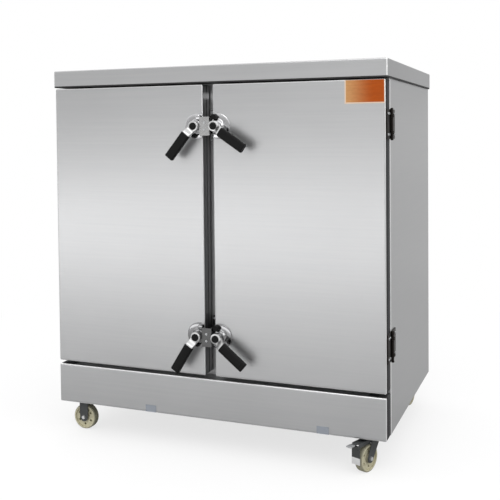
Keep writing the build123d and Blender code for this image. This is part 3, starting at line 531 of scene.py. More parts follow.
def placed(name, verts, faces, finish, body, stands_for):
    """Link a mesh as a piece that rides on a body."""
    mesh = bpy.data.meshes.new(name)
    mesh.from_pydata([tuple(v) for v in verts], [], faces)
    work = bmesh.new()
    work.from_mesh(mesh)
    bmesh.ops.remove_doubles(work, verts=work.verts, dist=1e-6)
    bmesh.ops.recalc_face_normals(work, faces=work.faces)
    work.to_mesh(mesh)
    work.free()
    mesh.materials.append(finish)
    mesh.shade_smooth()
    mesh.set_sharp_from_angle(angle=SHARP_FROM)
    made = bpy.data.objects.new(name, mesh)
    bpy.context.collection.objects.link(made)
    declare(made, body, stands_for)


def declare(made, body, stands_for):
    """Say which body a piece rides on and the nodes it stands for."""
    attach(made, body)
    if stands_for:
        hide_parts(*stands_for)


print("front is", tuple(FRONT))

# %% [markdown]
# Most pieces here are pressed, cast or turned, so they follow one recipe: an
# outline, and a chain of rings that step inwards and outwards from it. One
# function joins the rings and closes both ends. A chain that comes back on
# itself makes a thin pan with a real inner face.


# %% Chains of rings
def rings_to_faces(count, size, first, loop):
    """Faces between rings of equal size, with the end rings closed or joined."""
    faces = []
    for i in range(count if loop else count - 1):
        for j in range(size):
            k = (j + 1) % size
            a = first + i * size
            b = first + (i + 1) % count * size
            faces.append((a + j, a + k, b + k, b + j))
    if loop:
        return faces
    faces.append(tuple(first + j for j in reversed(range(size))))
    faces.append(tuple(first + (count - 1) * size + j for j in range(size)))
    return faces


class Shape:
    """Collects closed rings in metres and turns them into one mesh."""

    def __init__(self):
        self.verts = []
        self.faces = []

    def chain(self, rings, loop=False):
        first = len(self.verts)
        self.faces += rings_to_faces(len(rings), len(rings[0]), first, loop)
        for ring in rings:
            self.verts += ring
        return self

    def piece(self, name, finish, body, slot, stands_for=()):
        placed(name, self.verts, self.faces, finish, body, stands_for)


print("a tube of 3 rings of 4 has", len(rings_to_faces(3, 4, 0, False)), "faces")

# %% [markdown]
# The outlines are circles and rounded rectangles. An inset moves an outline
# inwards, and a step pairs an inset with a height, so a list of steps is the
# profile of a piece. A quarter bend rounds such a profile where sheet is
# folded. A bevel on a finished mesh would do for one edge, but not for a fold
# whose inside has its own radius.


# %% Outlines and profiles
def circle(radius, count=48):
    return [(radius * cos(2 * pi * i / count), radius * sin(2 * pi * i / count)) for i in range(count)]


def rounded(width, height, radius, count=6):
    """A rounded rectangle round the origin, anticlockwise."""
    points = []
    for quarter, (sx, sy) in enumerate(((1, 1), (-1, 1), (-1, -1), (1, -1))):
        for i in range(count + 1):
            angle = pi / 2 * (quarter + i / count)
            x = sx * (width / 2 - radius) + radius * cos(angle)
            y = sy * (height / 2 - radius) + radius * sin(angle)
            points.append((x, y))
    return points


def inset(outline, distance):
    """The outline moved inwards, by its own rule if it has one."""
    if callable(outline):
        return outline(distance)
    moved = []
    count = len(outline)
    for i, (x, y) in enumerate(outline):
        before, after = outline[i - 1], outline[(i + 1) % count]
        a = Vector((x - before[0], y - before[1]))
        b = Vector((after[0] - x, after[1] - y))
        if a.length < 1e-9:
            a = b
        if b.length < 1e-9:
            b = a
        normal = Vector((-a.y, a.x)).normalized() + Vector((-b.y, b.x)).normalized()
        normal.normalize()
        lean = max(normal.dot(Vector((-a.y, a.x)).normalized()), 0.5)
        moved.append((x + normal.x * distance / lean, y + normal.y * distance / lean))
    return moved


def rectangle(width, height, radius):
    """A rounded rectangle as a rule for any inset."""
    return lambda d: rounded(width - 2 * d, height - 2 * d, max(radius - d, 0.0001))


def stack(outline, steps, origin, u, v, w):
    """Rings of an outline: each step is (inset, height along w)."""
    origin, u, v, w = Vector(origin), Vector(u), Vector(v), Vector(w)
    rings = []
    for distance, height in steps:
        rings.append([origin + u * x + v * y + w * height for x, y in inset(outline, distance)])
    return rings


def bend(start, end, centre, count=5):
    """Points of a quarter bend between two (inset, height) points."""
    points = []
    for i in range(1, count):
        angle = pi / 2 * i / count
        a, b = cos(angle), sin(angle)
        points.append(tuple(c + (s - c) * a + (e - c) * b for s, e, c in zip(start, end, centre)))
    return [start] + points + [end]


print("a quarter bend has", len(bend((0, 1), (1, 0), (1, 1))), "points")

# %% [markdown]
# ## Doors, skirt and cap
# Each door face is one sheet folded back on all four sides. Its bends are
# about four millimetres in radius, too wide for a plain bevel to look right,
# so the pan is built from rings that follow the bend outside and inside.


# %% Folded pans
SHEET, PAN_CORNER, CAP_CORNER = 0.0015, 0.0045, 0.0055


def pan_steps(depth):
    """From the middle of the face over the bend, back along the return, and inside again."""
    outside = bend((0, EDGE), (EDGE, 0), (EDGE, EDGE))
    inside = bend((SHEET, EDGE), (EDGE, SHEET), (EDGE, EDGE))
    flat, back = EDGE + 0.004, EDGE + 0.003
    rim = [(0, back), (0, depth), (SHEET, depth), (SHEET, back)]
    return [(flat, 0)] + outside[::-1] + rim + inside + [(flat, SHEET)]


def front_pan(name, low, high, finish, body, slot, node):
    """A pan that faces the front and fills the box of its node."""
    width, height = high[0] - low[0], high[2] - low[2]
    middle = ((low[0] + high[0]) / 2, low[1], (low[2] + high[2]) / 2)
    steps = pan_steps(high[1] - low[1])
    outline = rectangle(width, height, PAN_CORNER)
    rings = stack(outline, steps, middle, RIGHT, UP, -FRONT)
    Shape().chain(rings).piece(name, finish, body, slot, (node,))


for word in ("left", "right"):
    node = word + "_door_skin"
    low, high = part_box(node)
    front_pan(word + "_door_face", low, high, steel_door, word + "_door", "stainless_skin", node)
front_pan("skirt_face", skirt_low, skirt_high, steel_skirt, "cabinet", "stainless_skin", "skirt_panel")
print("pans", round(door_high[0] - door_low[0], 3), "by", round(door_high[2] - door_low[2], 3), "m")

# %% [markdown]
# The cap is a shallow tray turned upside down. It is folded the same way, but
# its face points up, and a painted highlight runs down its upright corners.

# %% Cap
cap_low, cap_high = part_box("top_cap")
CAP_MIDDLE = (cap_low[1] + cap_high[1]) / 2
CORNER_HIGHLIGHT = 0.0045


def cap_trim(f):
    """Painted highlight on the upright corners."""
    # Painted highlight: near white within a few millimetres of each upright corner.
    near_x = (f.x.size() - (cap_high[0] - CORNER_HIGHLIGHT)).step(0.0, 0.001)
    near_y = ((f.y - CAP_MIDDLE).size() - (cap_high[1] - CAP_MIDDLE - CORNER_HIGHLIGHT)).step(0.0, 0.001)
    return near_x * near_y, None


steel_cap = brushed("brushed_steel_cap", 0, trim=cap_trim)
outline = rectangle(cap_high[0] - cap_low[0], cap_high[1] - cap_low[1], CAP_CORNER)
middle = ((cap_low[0] + cap_high[0]) / 2, CAP_MIDDLE, cap_high[2])
rings = stack(outline, pan_steps(cap_high[2] - cap_low[2]), middle, RIGHT, -FRONT, -UP)
Shape().chain(rings).piece("cap_tray", steel_cap, "cabinet", "stainless_skin", ("top_cap",))
print("cap", round(cap_high[2] - cap_low[2], 3), "m high")

# %% [markdown]
# Under the cap a black rubber strip stands in for the shade in the joint to the body, all round.
# It is a flat band between two outlines, so its rings run in a closed loop.

# %% Shade strip under the cap
STRIP_HEIGHT, STRIP_GAP, STRIP_INSET, STRIP_REAR = 0.0056, 0.0002, 0.001, 0.0006
strip_top = cap_low[2] + STRIP_GAP
strip_low = strip_top - STRIP_HEIGHT
side_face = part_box("right_side_panel")[1][0]
front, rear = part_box("face_frame")[0][1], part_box("back_panel")[1][1]
outer = (cap_high[0] - STRIP_INSET, cap_low[1] + STRIP_INSET, cap_high[1] - STRIP_REAR, 0.0045)
inner = (side_face + STRIP_GAP, front - STRIP_GAP, rear + STRIP_GAP, 0.0003)


def band_ring(edge, z):
    half, y0, y1, radius = edge
    return [Vector((x, (y0 + y1) / 2 + y, z)) for x, y in rounded(2 * half, y1 - y0, radius)]


levels = ((outer, strip_low), (outer, strip_top), (inner, strip_top), (inner, strip_low))
rings = [band_ring(edge, z) for edge, z in levels]
# A dark strip put in the joint as painted shade under the cap.
Shape().chain(rings, loop=True).piece("cap_joint_strip", black_rubber, "cabinet", "black_seal")
print("strip from", round(strip_low, 4), "to", round(strip_top, 4), "m high")

# %% [markdown]
# ## Latch levers
# A latch lever is a chromed casting: a round hub on the pivot, a neck that
# climbs clear of the flange and a tongue towards the keeper. It is lofted
# through cross-sections along its length, because both its width and its
# height change on the way.


# %% Lever sections
def lever_frame(word):
    """Pivot, and the directions along, across and out of a lever at rest."""
    joint = joints[word + "_latch_pivot"]
    pivot = Vector(joint["pos_m"])
    low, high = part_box(word + "_grip")
    middle = (Vector(low) + Vector(high)) / 2
    along = Vector((middle.x - pivot.x, 0, middle.z - pivot.z)).normalized()
    return pivot, along, FRONT.cross(along), FRONT


def section(half, bottom, top, edge):
    """A rounded cross-section of a lever: (across, out) points."""
    half = max(half, 0.0004)
    edge = min(edge, half * 0.95, (top - bottom) / 2.2)
    points = rounded(2 * half, top - bottom, edge, 4)
    return [(x, y + (top + bottom) / 2) for x, y in points]


def ramp(value, start, end):
    """Rises smoothly from 0 at start to 1 at end."""
    t = min(max((value - start) / (end - start), 0.0), 1.0)
    return t * t * (3 - 2 * t)


print("section points", len(section(0.01, 0, 0.01, 0.003)))

# %% [markdown]
# The neck climbs on its underside a little before it climbs on top. The
# tongue reaches level over the gap between the doors, beside its keeper, and a
# flat tang runs on inside the grip. Each of the three is a closed chain of its
# own, so they can overlap without open edges.

# %% Levers
HUB, HUB_THICK, NECK_HALF, NECK_START, NECK_END = 0.02, 0.018, 0.016, 0.012, 0.0367
RISE, NECK_THICK, LEVER_EDGE = 0.02, 0.014, 0.0032
UNDERSIDE, UPPER_SIDE, HUB_RINGS, NECK_RINGS = (0.012, 0.036), (0.0142, 0.0362), 14, 24
TONGUE_HALF, TONGUE_THICK, TONGUE_EDGE = 0.008, 0.01, 0.0015
TANG, TANG_REACH = (0.022, 0.008, 0.001), (0.0362, 0.1365)


def lever_half(u):
    """Half the width of a lever at a distance from its pivot."""
    hub = sqrt(max(HUB * HUB - u * u, 0.0))
    return max(hub, NECK_HALF) if u > NECK_START else hub


def lever(word):
    """Hub and neck, the tongue beside the keeper, and the tang inside the grip."""
    pivot, along, across, out = lever_frame(word)
    rings = []
    spots = [-HUB * cos(pi / 2 * i / HUB_RINGS) for i in range(HUB_RINGS)]
    spots += [NECK_END * i / NECK_RINGS for i in range(NECK_RINGS + 1)]
    for u in spots:
        bottom = RISE * ramp(u, *UNDERSIDE)
        top = HUB_THICK + (RISE + NECK_THICK - HUB_THICK) * ramp(u, *UPPER_SIDE)
        ring = section(lever_half(u), bottom, top, LEVER_EDGE)
        rings.append([pivot + along * u + across * x + out * y for x, y in ring])
    body = Shape().chain(rings)
    low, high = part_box(word + "_lever")
    side = 1 if pivot.x > 0 else -1
    tip = low[0] if side > 0 else high[0]
    reach = abs(pivot.x - tip) - TONGUE_HALF
    tongue = []
    for i in range(9):
        angle = pi * i / 8
        tongue.append((-side * (reach + TONGUE_HALF * sin(angle)), TONGUE_HALF * cos(angle)))
    tongue += [(0, -TONGUE_HALF), (0, TONGUE_HALF)]
    steps = [(0, 0.0002), (0, TONGUE_THICK - TONGUE_EDGE), (TONGUE_EDGE, TONGUE_THICK)]
    if side < 0:
        tongue = tongue[::-1]
    body.chain(stack(tongue, steps, pivot, RIGHT, UP, out))
    tang = rounded(*TANG, 2)
    mid = RISE + NECK_THICK / 2
    body.chain([[pivot + along * u + across * x + out * (y + mid) for x, y in tang] for u in TANG_REACH])
    body.piece(word + "_lever_arm", cast_chrome, word + "_latch", "chrome_casting", (word + "_lever",))


LATCHES = ("upper_left", "upper_right", "lower_left", "lower_right")
for word in LATCHES:
    lever(word)
print("levers", len(LATCHES))

# %% [markdown]
# Each grip is a black moulded sleeve pushed over the lever. Its mould leaves
# a shallow groove near the open end and flutes along the sides, which stop
# wet hands from slipping.

# %% Grips
GRIP_START, GRIP_LENGTH, GRIP_WIDE, GRIP_THICK = 0.037, 0.113, 0.036, 0.022
GRIP_CORNER, GRIP_END, GRIP_RINGS = 0.007, 0.0016, 46
GROOVE, GROOVE_HALF, GROOVE_BACK = 0.0009, 0.0016, 0.013
FLUTE, FLUTE_PITCH, FLUTE_START, FLUTE_BACK, FLUTE_REACH = 0.0006, 0.006, 0.008, 0.018, 0.003


def grip(word):
    """A sleeve of many rings, each inset by the end, the groove or the flutes."""
    pivot, along, across, out = lever_frame(word)
    base = rounded(GRIP_WIDE, GRIP_THICK, GRIP_CORNER, 7)
    rings = []
    for i in range(GRIP_RINGS + 1):
        u = GRIP_LENGTH * i / GRIP_RINGS
        near_end = min(u, GRIP_LENGTH - u)
        chamfer = GRIP_END * max(0.0, 1 - near_end / GRIP_END)
        groove = GROOVE if abs(u - (GRIP_LENGTH - GROOVE_BACK)) < GROOVE_HALF else 0.0
        ring = []
        for x, y in inset(base, chamfer + groove):
            flute = 0.0
            along_flutes = FLUTE_START < u < GRIP_LENGTH - FLUTE_BACK
            if along_flutes and abs(y) > GRIP_THICK / 2 - FLUTE_REACH:
                flute = FLUTE * (0.5 + 0.5 * cos(x * 2 * pi / FLUTE_PITCH))
            y -= flute * (1 if y > 0 else -1)
            ring.append(pivot + along * (GRIP_START + u) + across * x + out * (y + RISE + NECK_THICK / 2))
        rings.append(ring)
    shape = Shape().chain(rings)
    shape.piece(word + "_sleeve", black_plastic, word + "_latch", "black_plastic", (word + "_grip",))


for word in LATCHES:
    grip(word)
print("grips", len(LATCHES), "of", GRIP_LENGTH, "m")

# %% [markdown]
# ## Latch flanges
# The flange is pressed from plate, with a flat rim for its screws and a dish
# that rises to the pivot boss. The dish matters for the look: its lower half
# leans down and mirrors the floor, its upper half mirrors the bright room.

# %% Flanges
FLANGE, FLANGE_CENTRE, FLANGE_CUT, FLANGE_THICK = 0.048, 0.043, 0.0225, 0.004
STAND = 0.0003
DISH, BOSS, BOSS_RISE, PIN, PIN_RISE = 0.0295, 0.0185, 0.022, 0.0068, 0.0206
KNOB, KNOB_RISE, KNOB_ASIDE, KNOB_UP = 0.0113, 0.0149, 0.033, 0.034


def d_outline(side, count=60):
    """A disc cut straight on the side of the gap, round the flange centre."""
    points = []
    start = pi - acos((FLANGE_CENTRE - FLANGE_CUT) / FLANGE)
    for i in range(count + 1):
        angle = -start + 2 * start * i / count
        points.append((FLANGE * cos(angle), FLANGE * sin(angle)))
    return points if side > 0 else [(-x, y) for x, y in reversed(points)]


def flange(word):
    """Plate, dish, boss and pin of both latches of a door, and a knob on the left."""
    side = 1 if word == "right" else -1
    shape = Shape()
    rim = STAND + FLANGE_THICK
    top = rim + BOSS_RISE
    plate = [(0, STAND), (0, rim - 0.0016), (0.0004, rim - 0.0008), (0.0014, rim - 0.0002)]
    plate += [(0.003, rim + 0.0003), (0.006, rim + 0.0009), (0.01, rim + 0.0015), (0.015, rim + 0.002)]
    dish = [(0, rim - 0.001), (0.0004, rim + 0.0016)]
    dish += [(0.001 + 0.0009 * i, rim + 0.002 + 0.008 * ramp(i, 0, 10)) for i in range(11)]
    boss = [(0, rim), (0.0008, top - 0.004), (0.0016, top - 0.001), (0.0026, top)]
    pin = [(0, top - 0.001), (0, top + PIN_RISE)]
    knob_top = rim + KNOB_RISE
    knob = [(0, rim - 0.001), (0.0006, rim + 0.010), (0.002, knob_top - 0.0014), (0.005, knob_top)]
    for latch in ("upper_", "lower_"):
        pivot = Vector(joints[latch + word + "_latch_pivot"]["pos_m"])
        face = Vector((pivot.x, door_low[1], pivot.z))
        centre = Vector((side * FLANGE_CENTRE, door_low[1], pivot.z))
        spot = Vector((side * KNOB_ASIDE, door_low[1], pivot.z + KNOB_UP))
        layers = [(d_outline(side), plate, centre), (circle(DISH, 56), dish, face)]
        layers += [(circle(BOSS, 48), boss, face), (circle(PIN, 32), pin, face)]
        if side < 0:
            layers.append((circle(KNOB, 40), knob, spot))
        for outline, steps, place in layers:
            shape.chain(stack(outline, steps, place, RIGHT, UP, FRONT))
    shape.piece(word + "_flanges", chrome, word + "_door", "chrome_casting", (word + "_latch_bases",))


for word in ("left", "right"):
    flange(word)
print("flanges", len(LATCHES), "of", FLANGE, "m radius")

# %% [markdown]
# ## Hinges
# The hinges are dark castings. Each leaf is a plate with rounded edges, and
# its knuckles are slim barrels with a thicker collar where they meet, so the
# profile shows two bumps. Frame leaves carry the end knuckles, door leaves
# the middle one.

# %% Hinge pieces
BARREL, COLLAR, COLLAR_LONG, COLLAR_SLOPE, COLLAR_EDGE = 0.0047, 0.0079, 0.005, 0.002, 0.0006
MIDDLE_HALF, HINGE_HALF, KNUCKLE_GAP = 0.029, 0.0525, 0.0005
LEAF_THICK, LEAF_CORNER, WEB_REACH = 0.004, 0.003, 0.0085
LEAF_SEAT = side_face + STAND
hinge = joints["right_door_hinge"]["pos_m"]


def leaf_plate(shape, side, front, rear, z):
    """A hinge plate against a side, with its outer edges rounded."""
    outline = rectangle(rear - front, 2 * HINGE_HALF, LEAF_CORNER)
    steps = [(0, 0), (0, 0.0026), (0.0005, 0.0036), (0.0014, LEAF_THICK)]
    middle = (side * LEAF_SEAT, (front + rear) / 2, z)
    shape.chain(stack(outline, steps, middle, (0, side, 0), UP, (side, 0, 0)))


def knuckle(shape, side, low, high, collars):
    """A barrel round the hinge pin, with a collar at each chosen end."""
    slim = COLLAR - BARREL
    steps = [(slim, low)]
    if "low" in collars:
        steps = [(COLLAR_EDGE, low), (0, low + COLLAR_EDGE), (0, low + COLLAR_LONG)]
        steps += [(slim, low + COLLAR_LONG + COLLAR_SLOPE)]
    if "high" in collars:
        steps += [(slim, high - COLLAR_LONG - COLLAR_SLOPE), (0, high - COLLAR_LONG)]
        steps += [(0, high - COLLAR_EDGE), (COLLAR_EDGE, high)]
    else:
        steps += [(slim, high)]
    middle = (side * hinge[0], hinge[1], 0)
    shape.chain(stack(circle(COLLAR, 32), steps, middle, RIGHT, -FRONT, UP))


def web(shape, side, front, low, high):
    """The tongue that joins a knuckle to its plate."""
    block = rounded(WEB_REACH, high - low, 0.0008, 2)
    middle = Vector((side * LEAF_SEAT, front + WEB_REACH / 2, (low + high) / 2))
    steps = [(0, 0), (0, 0.0034), (0.0005, LEAF_THICK)]
    shape.chain(stack(block, steps, middle, -FRONT, UP, (side, 0, 0)))


print("leaves seat at", round(LEAF_SEAT, 4), "m from the middle")

# %% [markdown]
# The hinges sit at the heights of the latches, so each door hangs on the lines
# it is locked on. The door's leaves go into one mesh for each door, because
# they swing with it, and all frame leaves go into one that stays.

# %% Hinges
latch_heights = [joints[w + "_right_latch_pivot"]["pos_m"][2] for w in ("upper", "lower")]
frame_shape = Shape()
frame_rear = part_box("hinge_frame_leaves")[1][1]
for side, word in ((-1, "left"), (1, "right")):
    door_shape = Shape()
    door_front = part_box(word + "_hinge_leaves")[0][1]
    for z in latch_heights:
        near = hinge[1] - WEB_REACH
        leaf_plate(door_shape, side, door_front, near, z)
        knuckle(door_shape, side, z - MIDDLE_HALF, z + MIDDLE_HALF, ("low", "high"))
        web(door_shape, side, near, z - MIDDLE_HALF, z + MIDDLE_HALF)
        leaf_plate(frame_shape, side, hinge[1] + WEB_REACH, frame_rear, z)
        for a, b, ends in (
            (z - HINGE_HALF, z - MIDDLE_HALF - KNUCKLE_GAP, ("high",)),
            (z + MIDDLE_HALF + KNUCKLE_GAP, z + HINGE_HALF, ("low",)),
        ):
            knuckle(frame_shape, side, a, b, ends)
            web(frame_shape, side, hinge[1], a, b)
    leaves = (word + "_hinge_leaves",)
    door_shape.piece(word + "_hinge_wings", hinge_dark, word + "_door", "dark_hinge", leaves)
frame_shape.piece("frame_hinge_wings", hinge_dark, "cabinet", "dark_hinge", ("hinge_frame_leaves",))
print("hinges", 2 * len(latch_heights), "at heights", [round(z, 3) for z in latch_heights])

# %% [markdown]
# A plated cap is pushed over the end of the tab that stands out ahead of the
# braked caster. The cap is placed by measuring the fork's own solid, whose
# farthest points ahead of the swivel are the end of the tab. A guessed place
# would leave the cap in the air when the caster's size changes.

# %% Cap on the brake tab
CAP_LENGTH, CAP_WIDTH, CAP_OVERLAP, CAP_WALL = 0.026, 0.023, 0.006, 0.0006
king = Vector(joints["front_right_swivel_joint"]["pos_m"])
axle = joints["front_right_wheel_axle"]["axis"]
ahead = Vector((axle[1], -axle[0], 0.0))
fork_points = [vertex.co for vertex in nodes["front_right_fork"].data.vertices]
reach = max((point - king).dot(ahead) for point in fork_points)
tip = [point.z for point in fork_points if (point - king).dot(ahead) > reach - 0.0002]
tip_height = max(tip) - min(tip) + 2 * CAP_WALL
middle = king + ahead * (reach + CAP_LENGTH / 2 - CAP_OVERLAP)
middle.z = min(tip) - CAP_WALL
steps = [(0.0008, 0), (0, 0.0008), (0, tip_height - 0.0008), (0.0008, tip_height)]
aside = (-ahead.y, ahead.x, 0)
rings = stack(rounded(CAP_LENGTH, CAP_WIDTH, 0.004, 4), steps, middle, ahead, aside, UP)
Shape().chain(rings).piece("brake_tab_cap", zinc, "front_right_swivel", "zinc_steel")
print("tab cap ends", round(reach + CAP_LENGTH - CAP_OVERLAP, 4), "m ahead of the king pin")

# %% [markdown]
# ## Screws
# Every screw is the same cross-head, so one is made by Geometry Nodes and
# repeated on points. The points are read from the solid screws: each of them
# is one loose island, which is round seen along its own line and wider at the
# head, and that gives the place and direction of the head. Typed places would
# be left behind when a flange or a hinge moves.


# %% Screw places
# A screw that is this wide and round seen from the side points along X.
HEAD_HEIGHT, HEAD_LEAST, CLOSE = 0.003, 0.0085, 2e-4


def screw_places(node):
    """Seat of the head and outward direction of each screw in a node."""
    work = bmesh.new()
    work.from_mesh(nodes[node].data)
    bmesh.ops.remove_doubles(work, verts=work.verts, dist=1e-6)
    left = set(work.verts)
    places = []
    while left:
        start = left.pop()
        island, queue = [start], [start]
        while queue:
            for edge in queue.pop().link_edges:
                for vert in edge.verts:
                    if vert in left:
                        left.discard(vert)
                        island.append(vert)
                        queue.append(vert)
        points = [v.co.copy() for v in island]
        low = Vector([min(p[i] for p in points) for i in range(3)])
        high = Vector([max(p[i] for p in points) for i in range(3)])
        middle, size = (low + high) / 2, high - low
        axis = 0 if size.y > HEAD_LEAST and abs(size.y - size.z) < CLOSE else 1
        others = [i for i in range(3) if i != axis]

        def spread(value):
            near = [p for p in points if abs(p[axis] - value) < CLOSE]
            return max(max(abs(p[i] - middle[i]) for i in others) for p in near)

        sign = 1 if spread(high[axis]) > spread(low[axis]) else -1
        out = Vector((0, 0, 0))
        out[axis] = sign
        seat = middle.copy()
        seat[axis] = (high if sign > 0 else low)[axis] - sign * HEAD_HEIGHT
        places.append((seat, out))
    work.free()
    places.sort(key=lambda p: tuple(round(c, 4) for c in p[0]))
    return places


screws = {"cabinet": "body_screws", "left_door": "left_door_screws", "right_door": "right_door_screws"}
places = {body: screw_places(node) for body, node in screws.items()}
print("screws", {body: len(found) for body, found in places.items()})

# %% [markdown]
# A tree of Geometry Nodes gets its sizes through named inputs, as a part gets
# them from a drawing. The small class below makes the tree and keeps the
# identifier of each input, because a modifier sets an input by that and not by
# its name.


# %% Tree with named inputs
class Tree(Nodes):
    """A Geometry Nodes tree with named inputs."""

    def __init__(self, name):
        super().__init__(bpy.data.node_groups.new(name, "GeometryNodeTree"))
        self.sockets = {}
        self.add_input("Geometry", "NodeSocketGeometry")
        self.tree.interface.new_socket("Geometry", in_out="OUTPUT", socket_type="NodeSocketGeometry")
        self.outside = self.node("NodeGroupOutput")

    def add_input(self, word, kind, value=None):
        made = self.tree.interface.new_socket(word, in_out="INPUT", socket_type=kind)
        if value is not None:
            made.default_value = value
        self.sockets[word] = made.identifier


def out(node):
    """The first output in use of a node."""
    return next(s for s in node.outputs if s.enabled)


screw_tree = Tree("cross_head_screw")
sizes = (
    ("Head radius", 0.0045), ("Head height", HEAD_HEIGHT), ("Shank radius", 0.0024),
    ("Shank length", 0.004), ("Cross width", 0.0011))
for word, value in sizes:
    screw_tree.add_input(word, "NodeSocketFloat", value)
screw_tree.add_input("Finish", "NodeSocketMaterial")
given = screw_tree.node("NodeGroupInput").outputs
radius, tall, shank, deep, slot = (given[word] for word, _ in sizes)
print("inputs", list(screw_tree.sockets))

# %% [markdown]
# The tree builds one screw from its sizes: a slightly tapered wall, a low dome
# with two crossed bars cut from it, and a short shank. It puts a copy on every
# point, aims it along the direction stored there, and turns each by a seeded
# random angle, because no fitter leaves the crosses lined up. The copies are
# made real at the end, so that the result is one plain mesh.


# %% Screw tree
def product(value, factor):
    made = screw_tree.node("ShaderNodeMath", {"operation": "MULTIPLY"})
    screw_tree.feed(made.inputs[0], value)
    screw_tree.feed(made.inputs[1], factor)
    return made.outputs[0]


def vector(x, y, z):
    return out(screw_tree.node("ShaderNodeCombineXYZ", X=x, Y=y, Z=z))


def raised(geometry, height):
    return out(screw_tree.node(
        "GeometryNodeTransform", Geometry=geometry, Translation=vector(0.0, 0.0, height)))


def cone(top, bottom, height):
    made = screw_tree.node(
        "GeometryNodeMeshCone", {"fill_type": "NGON"}, Vertices=20,
        Radius_Top=top, Radius_Bottom=bottom, Depth=height)
    return made.outputs["Mesh"]


SHOULDER = 0.93
wall = cone(product(radius, SHOULDER), radius, product(tall, 0.6))
dome = cone(product(radius, 0.55), product(radius, SHOULDER), product(tall, 0.4))
body = screw_tree.node(
    "GeometryNodeMeshCylinder", {"fill_type": "NGON"}, Vertices=12, Radius=shank, Depth=deep)
bars = []
for x, y in ((product(radius, 1.1), slot), (slot, product(radius, 1.1))):
    bar = screw_tree.node("GeometryNodeMeshCube", Size=vector(x, y, product(tall, 0.8)))
    bars.append(raised(bar.outputs["Mesh"], product(tall, 0.95)))
cut = screw_tree.node("GeometryNodeMeshBoolean", {"operation": "DIFFERENCE"})
screw_tree.feed(cut.inputs[0], raised(dome, product(tall, 0.6)))
for bar in bars:
    screw_tree.feed(cut.inputs[1], bar)
whole = screw_tree.node("GeometryNodeJoinGeometry")
for part in (wall, cut.outputs["Mesh"], raised(body.outputs["Mesh"], product(deep, -0.5))):
    screw_tree.feed(whole.inputs[0], part)
stored = screw_tree.node("GeometryNodeInputNamedAttribute", {"data_type": "FLOAT_VECTOR"}, Name="out")
way = stored.outputs["Attribute"]
aim = screw_tree.node("FunctionNodeAlignRotationToVector", {"axis": "Z"}, Vector=way)
chance = screw_tree.node("FunctionNodeRandomValue", {"data_type": "FLOAT"}, Min=0.0, Max=pi, Seed=11)
spin = screw_tree.node("FunctionNodeAxisAngleToRotation", Axis=(0, 0, 1), Angle=out(chance))
turned = screw_tree.node("FunctionNodeRotateRotation", {"rotation_space": "LOCAL"})
screw_tree.feed(turned.inputs[0], out(aim))
screw_tree.feed(turned.inputs[1], out(spin))
copies = screw_tree.node(
    "GeometryNodeInstanceOnPoints", Points=given["Geometry"], Instance=out(whole), Rotation=out(turned))
real = screw_tree.node("GeometryNodeRealizeInstances", Geometry=out(copies))
coated = screw_tree.node("GeometryNodeSetMaterial", Geometry=out(real), Material=given["Finish"])
screw_tree.feed(screw_tree.outside.inputs[0], out(coated))
print("screw tree nodes", len(screw_tree.tree.nodes))

# %% [markdown]
# A screw turns with the door or stays with the cabinet, so each body gets one
# mesh of its own screws. The tree runs on a mesh of bare points, its result is
# copied to a plain mesh, and the points are thrown away.


# %% Screws on every body
def grown(name, places, tree, finish):
    """Points with a direction, run through a tree and kept as one plain mesh."""
    mesh = bpy.data.meshes.new(name)
    mesh.from_pydata([tuple(p) for p, _ in places], [], [])
    aim = mesh.attributes.new("out", "FLOAT_VECTOR", "POINT")
    for i, (_, way) in enumerate(places):
        aim.data[i].vector = way
    source = bpy.data.objects.new(name + "_points", mesh)
    bpy.context.collection.objects.link(source)
    modifier = source.modifiers.new("screws", "NODES")
    modifier.node_group = tree.tree
    modifier[tree.sockets["Finish"]] = finish
    graph = bpy.context.evaluated_depsgraph_get()
    plain = bpy.data.meshes.new_from_object(source.evaluated_get(graph))
    plain.name = name
    source.modifiers.remove(modifier)
    bpy.data.objects.remove(source)
    made = bpy.data.objects.new(name, plain)
    bpy.context.collection.objects.link(made)
    return made


for body, node in screws.items():
    made = grown(body + "_cross_screws", places[body], screw_tree, zinc)
    declare(made, body, (node,))
    print(body, len(places[body]), "screws", len(made.data.polygons), "faces")

# %% [markdown]
# ## Studio
# The cabinet stands in a white room. To the camera the floor is white with a
# faint shadow under the casters, and to the steel it is a mid grey, as a floor
# is that gets less light than the walls. One sheet does both: its material
# asks whether the ray comes from the camera.

# %% Floor
HALF_FLOOR, FLOOR_GREY, WHITE = 20, 0.46, (1, 1, 1, 1)
GLOW_NEAR, GLOW_START, GLOW_END = 0.72, 1.0, 2.6
f = Finish("floor", roughness=0.6)
f.feed(f.shader.inputs["Base Color"], (FLOOR_GREY, FLOOR_GREY, FLOOR_GREY, 1))
shadowed = f.node("ShaderNodeBsdfDiffuse", Color=(0.9, 0.9, 0.9, 1))
white = f.node("ShaderNodeEmission", Color=WHITE, Strength=1.0)
glow = GLOW_NEAR + (1.0 - GLOW_NEAR) * ((f.x * f.x + f.y * f.y) ** 0.5).step(GLOW_START, GLOW_END)
pale = f.mixed(glow, shadowed, white)
seen = f.mixed(f.node("ShaderNodeLightPath").outputs["Is Camera Ray"], f.shader, pale)
f.feed(f.tree.nodes["Material Output"].inputs[0], seen.outputs[0])
mesh = bpy.data.meshes.new("floor")
corners = [(HALF_FLOOR * x, HALF_FLOOR * y, 0) for x, y in ((-1, -1), (1, -1), (1, 1), (-1, 1))]
mesh.from_pydata(corners, [], [(0, 1, 2, 3)])
mesh.materials.append(f.material)
floor = bpy.data.objects.new("floor", mesh)
bpy.context.collection.objects.link(floor)
print("floor", 2 * HALF_FLOOR, "m square")

# %% [markdown]
# Steel shows what stands in front of it more than its own colour, so the
# lights are large and soft: one low and one high in front, one at each side,
# and a weak one behind for the edge of the side sheet. Small hard lamps would
# leave hot spots on the doors.


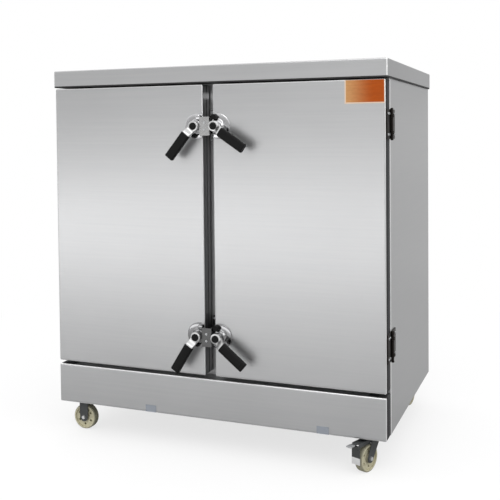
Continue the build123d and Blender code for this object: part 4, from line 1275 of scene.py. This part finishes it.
# %% Lights
def soft_light(name, place, target, size, power):
    """A rectangle of light that the camera doesn't see."""
    lamp = bpy.data.lights.new(name, "AREA")
    lamp.shape = "RECTANGLE"
    lamp.size, lamp.size_y = size
    lamp.energy = power
    made = bpy.data.objects.new(name, lamp)
    bpy.context.collection.objects.link(made)
    made.location = place
    made.visible_camera = False
    made.rotation_euler = (Vector(target) - Vector(place)).to_track_quat("-Z", "Y").to_euler()
    print(name, power, "W")


soft_light("front_low", (-1.3, -3.9, 0.45), (-0.3, -0.4, 0.7), (5.5, 0.7), 26)
soft_light("front_high", (1.0, -4.2, 4.6), (0, -0.4, 0.7), (4.0, 2.5), 70)
soft_light("left", (-4.5, -1.5, 2.8), (0, 0, 0.8), (3.5, 3.5), 16)
soft_light("right", (4.5, -1.5, 3.2), (0.6, 0, 0.8), (2.5, 2.5), 40)
soft_light("back_low", (1.5, 3.6, 0.7), (0.67, 0, 0.7), (2.4, 1.4), 0.9)

# %% [markdown]
# The room itself is a pale dome, a little darker near the floor than above,
# which gives the doors their fall of tone. Only the camera sees it plain
# white, so the picture's ground stays white without more light on the steel.

# %% World
LOW_ROOM, HIGH_ROOM = 0.6, 1.1
world = bpy.data.worlds.new("studio")
bpy.context.scene.world = world
world.use_nodes = True
room = Nodes(world.node_tree)
heading = room.node("ShaderNodeTexCoord").outputs["Generated"]
parts = room.node("ShaderNodeSeparateXYZ", Vector=heading)
dome = room.node(
    "ShaderNodeMapRange", {"interpolation_type": "SMOOTHSTEP"}, Value=parts.outputs["Z"],
    From_Min=0.1, From_Max=0.5, To_Min=LOW_ROOM, To_Max=HIGH_ROOM)
walls = room.tree.nodes["Background"]
room.feed(walls.inputs["Color"], WHITE)
room.feed(walls.inputs["Strength"], dome.outputs[0])
ground = room.node("ShaderNodeBackground", Color=WHITE)
mixed = room.mixed(room.node("ShaderNodeLightPath").outputs["Is Camera Ray"], walls, ground)
room.feed(room.tree.nodes["World Output"].inputs[0], mixed.outputs[0])
bpy.context.scene.view_settings.view_transform = "Standard"
print("room from", LOW_ROOM, "to", HIGH_ROOM)
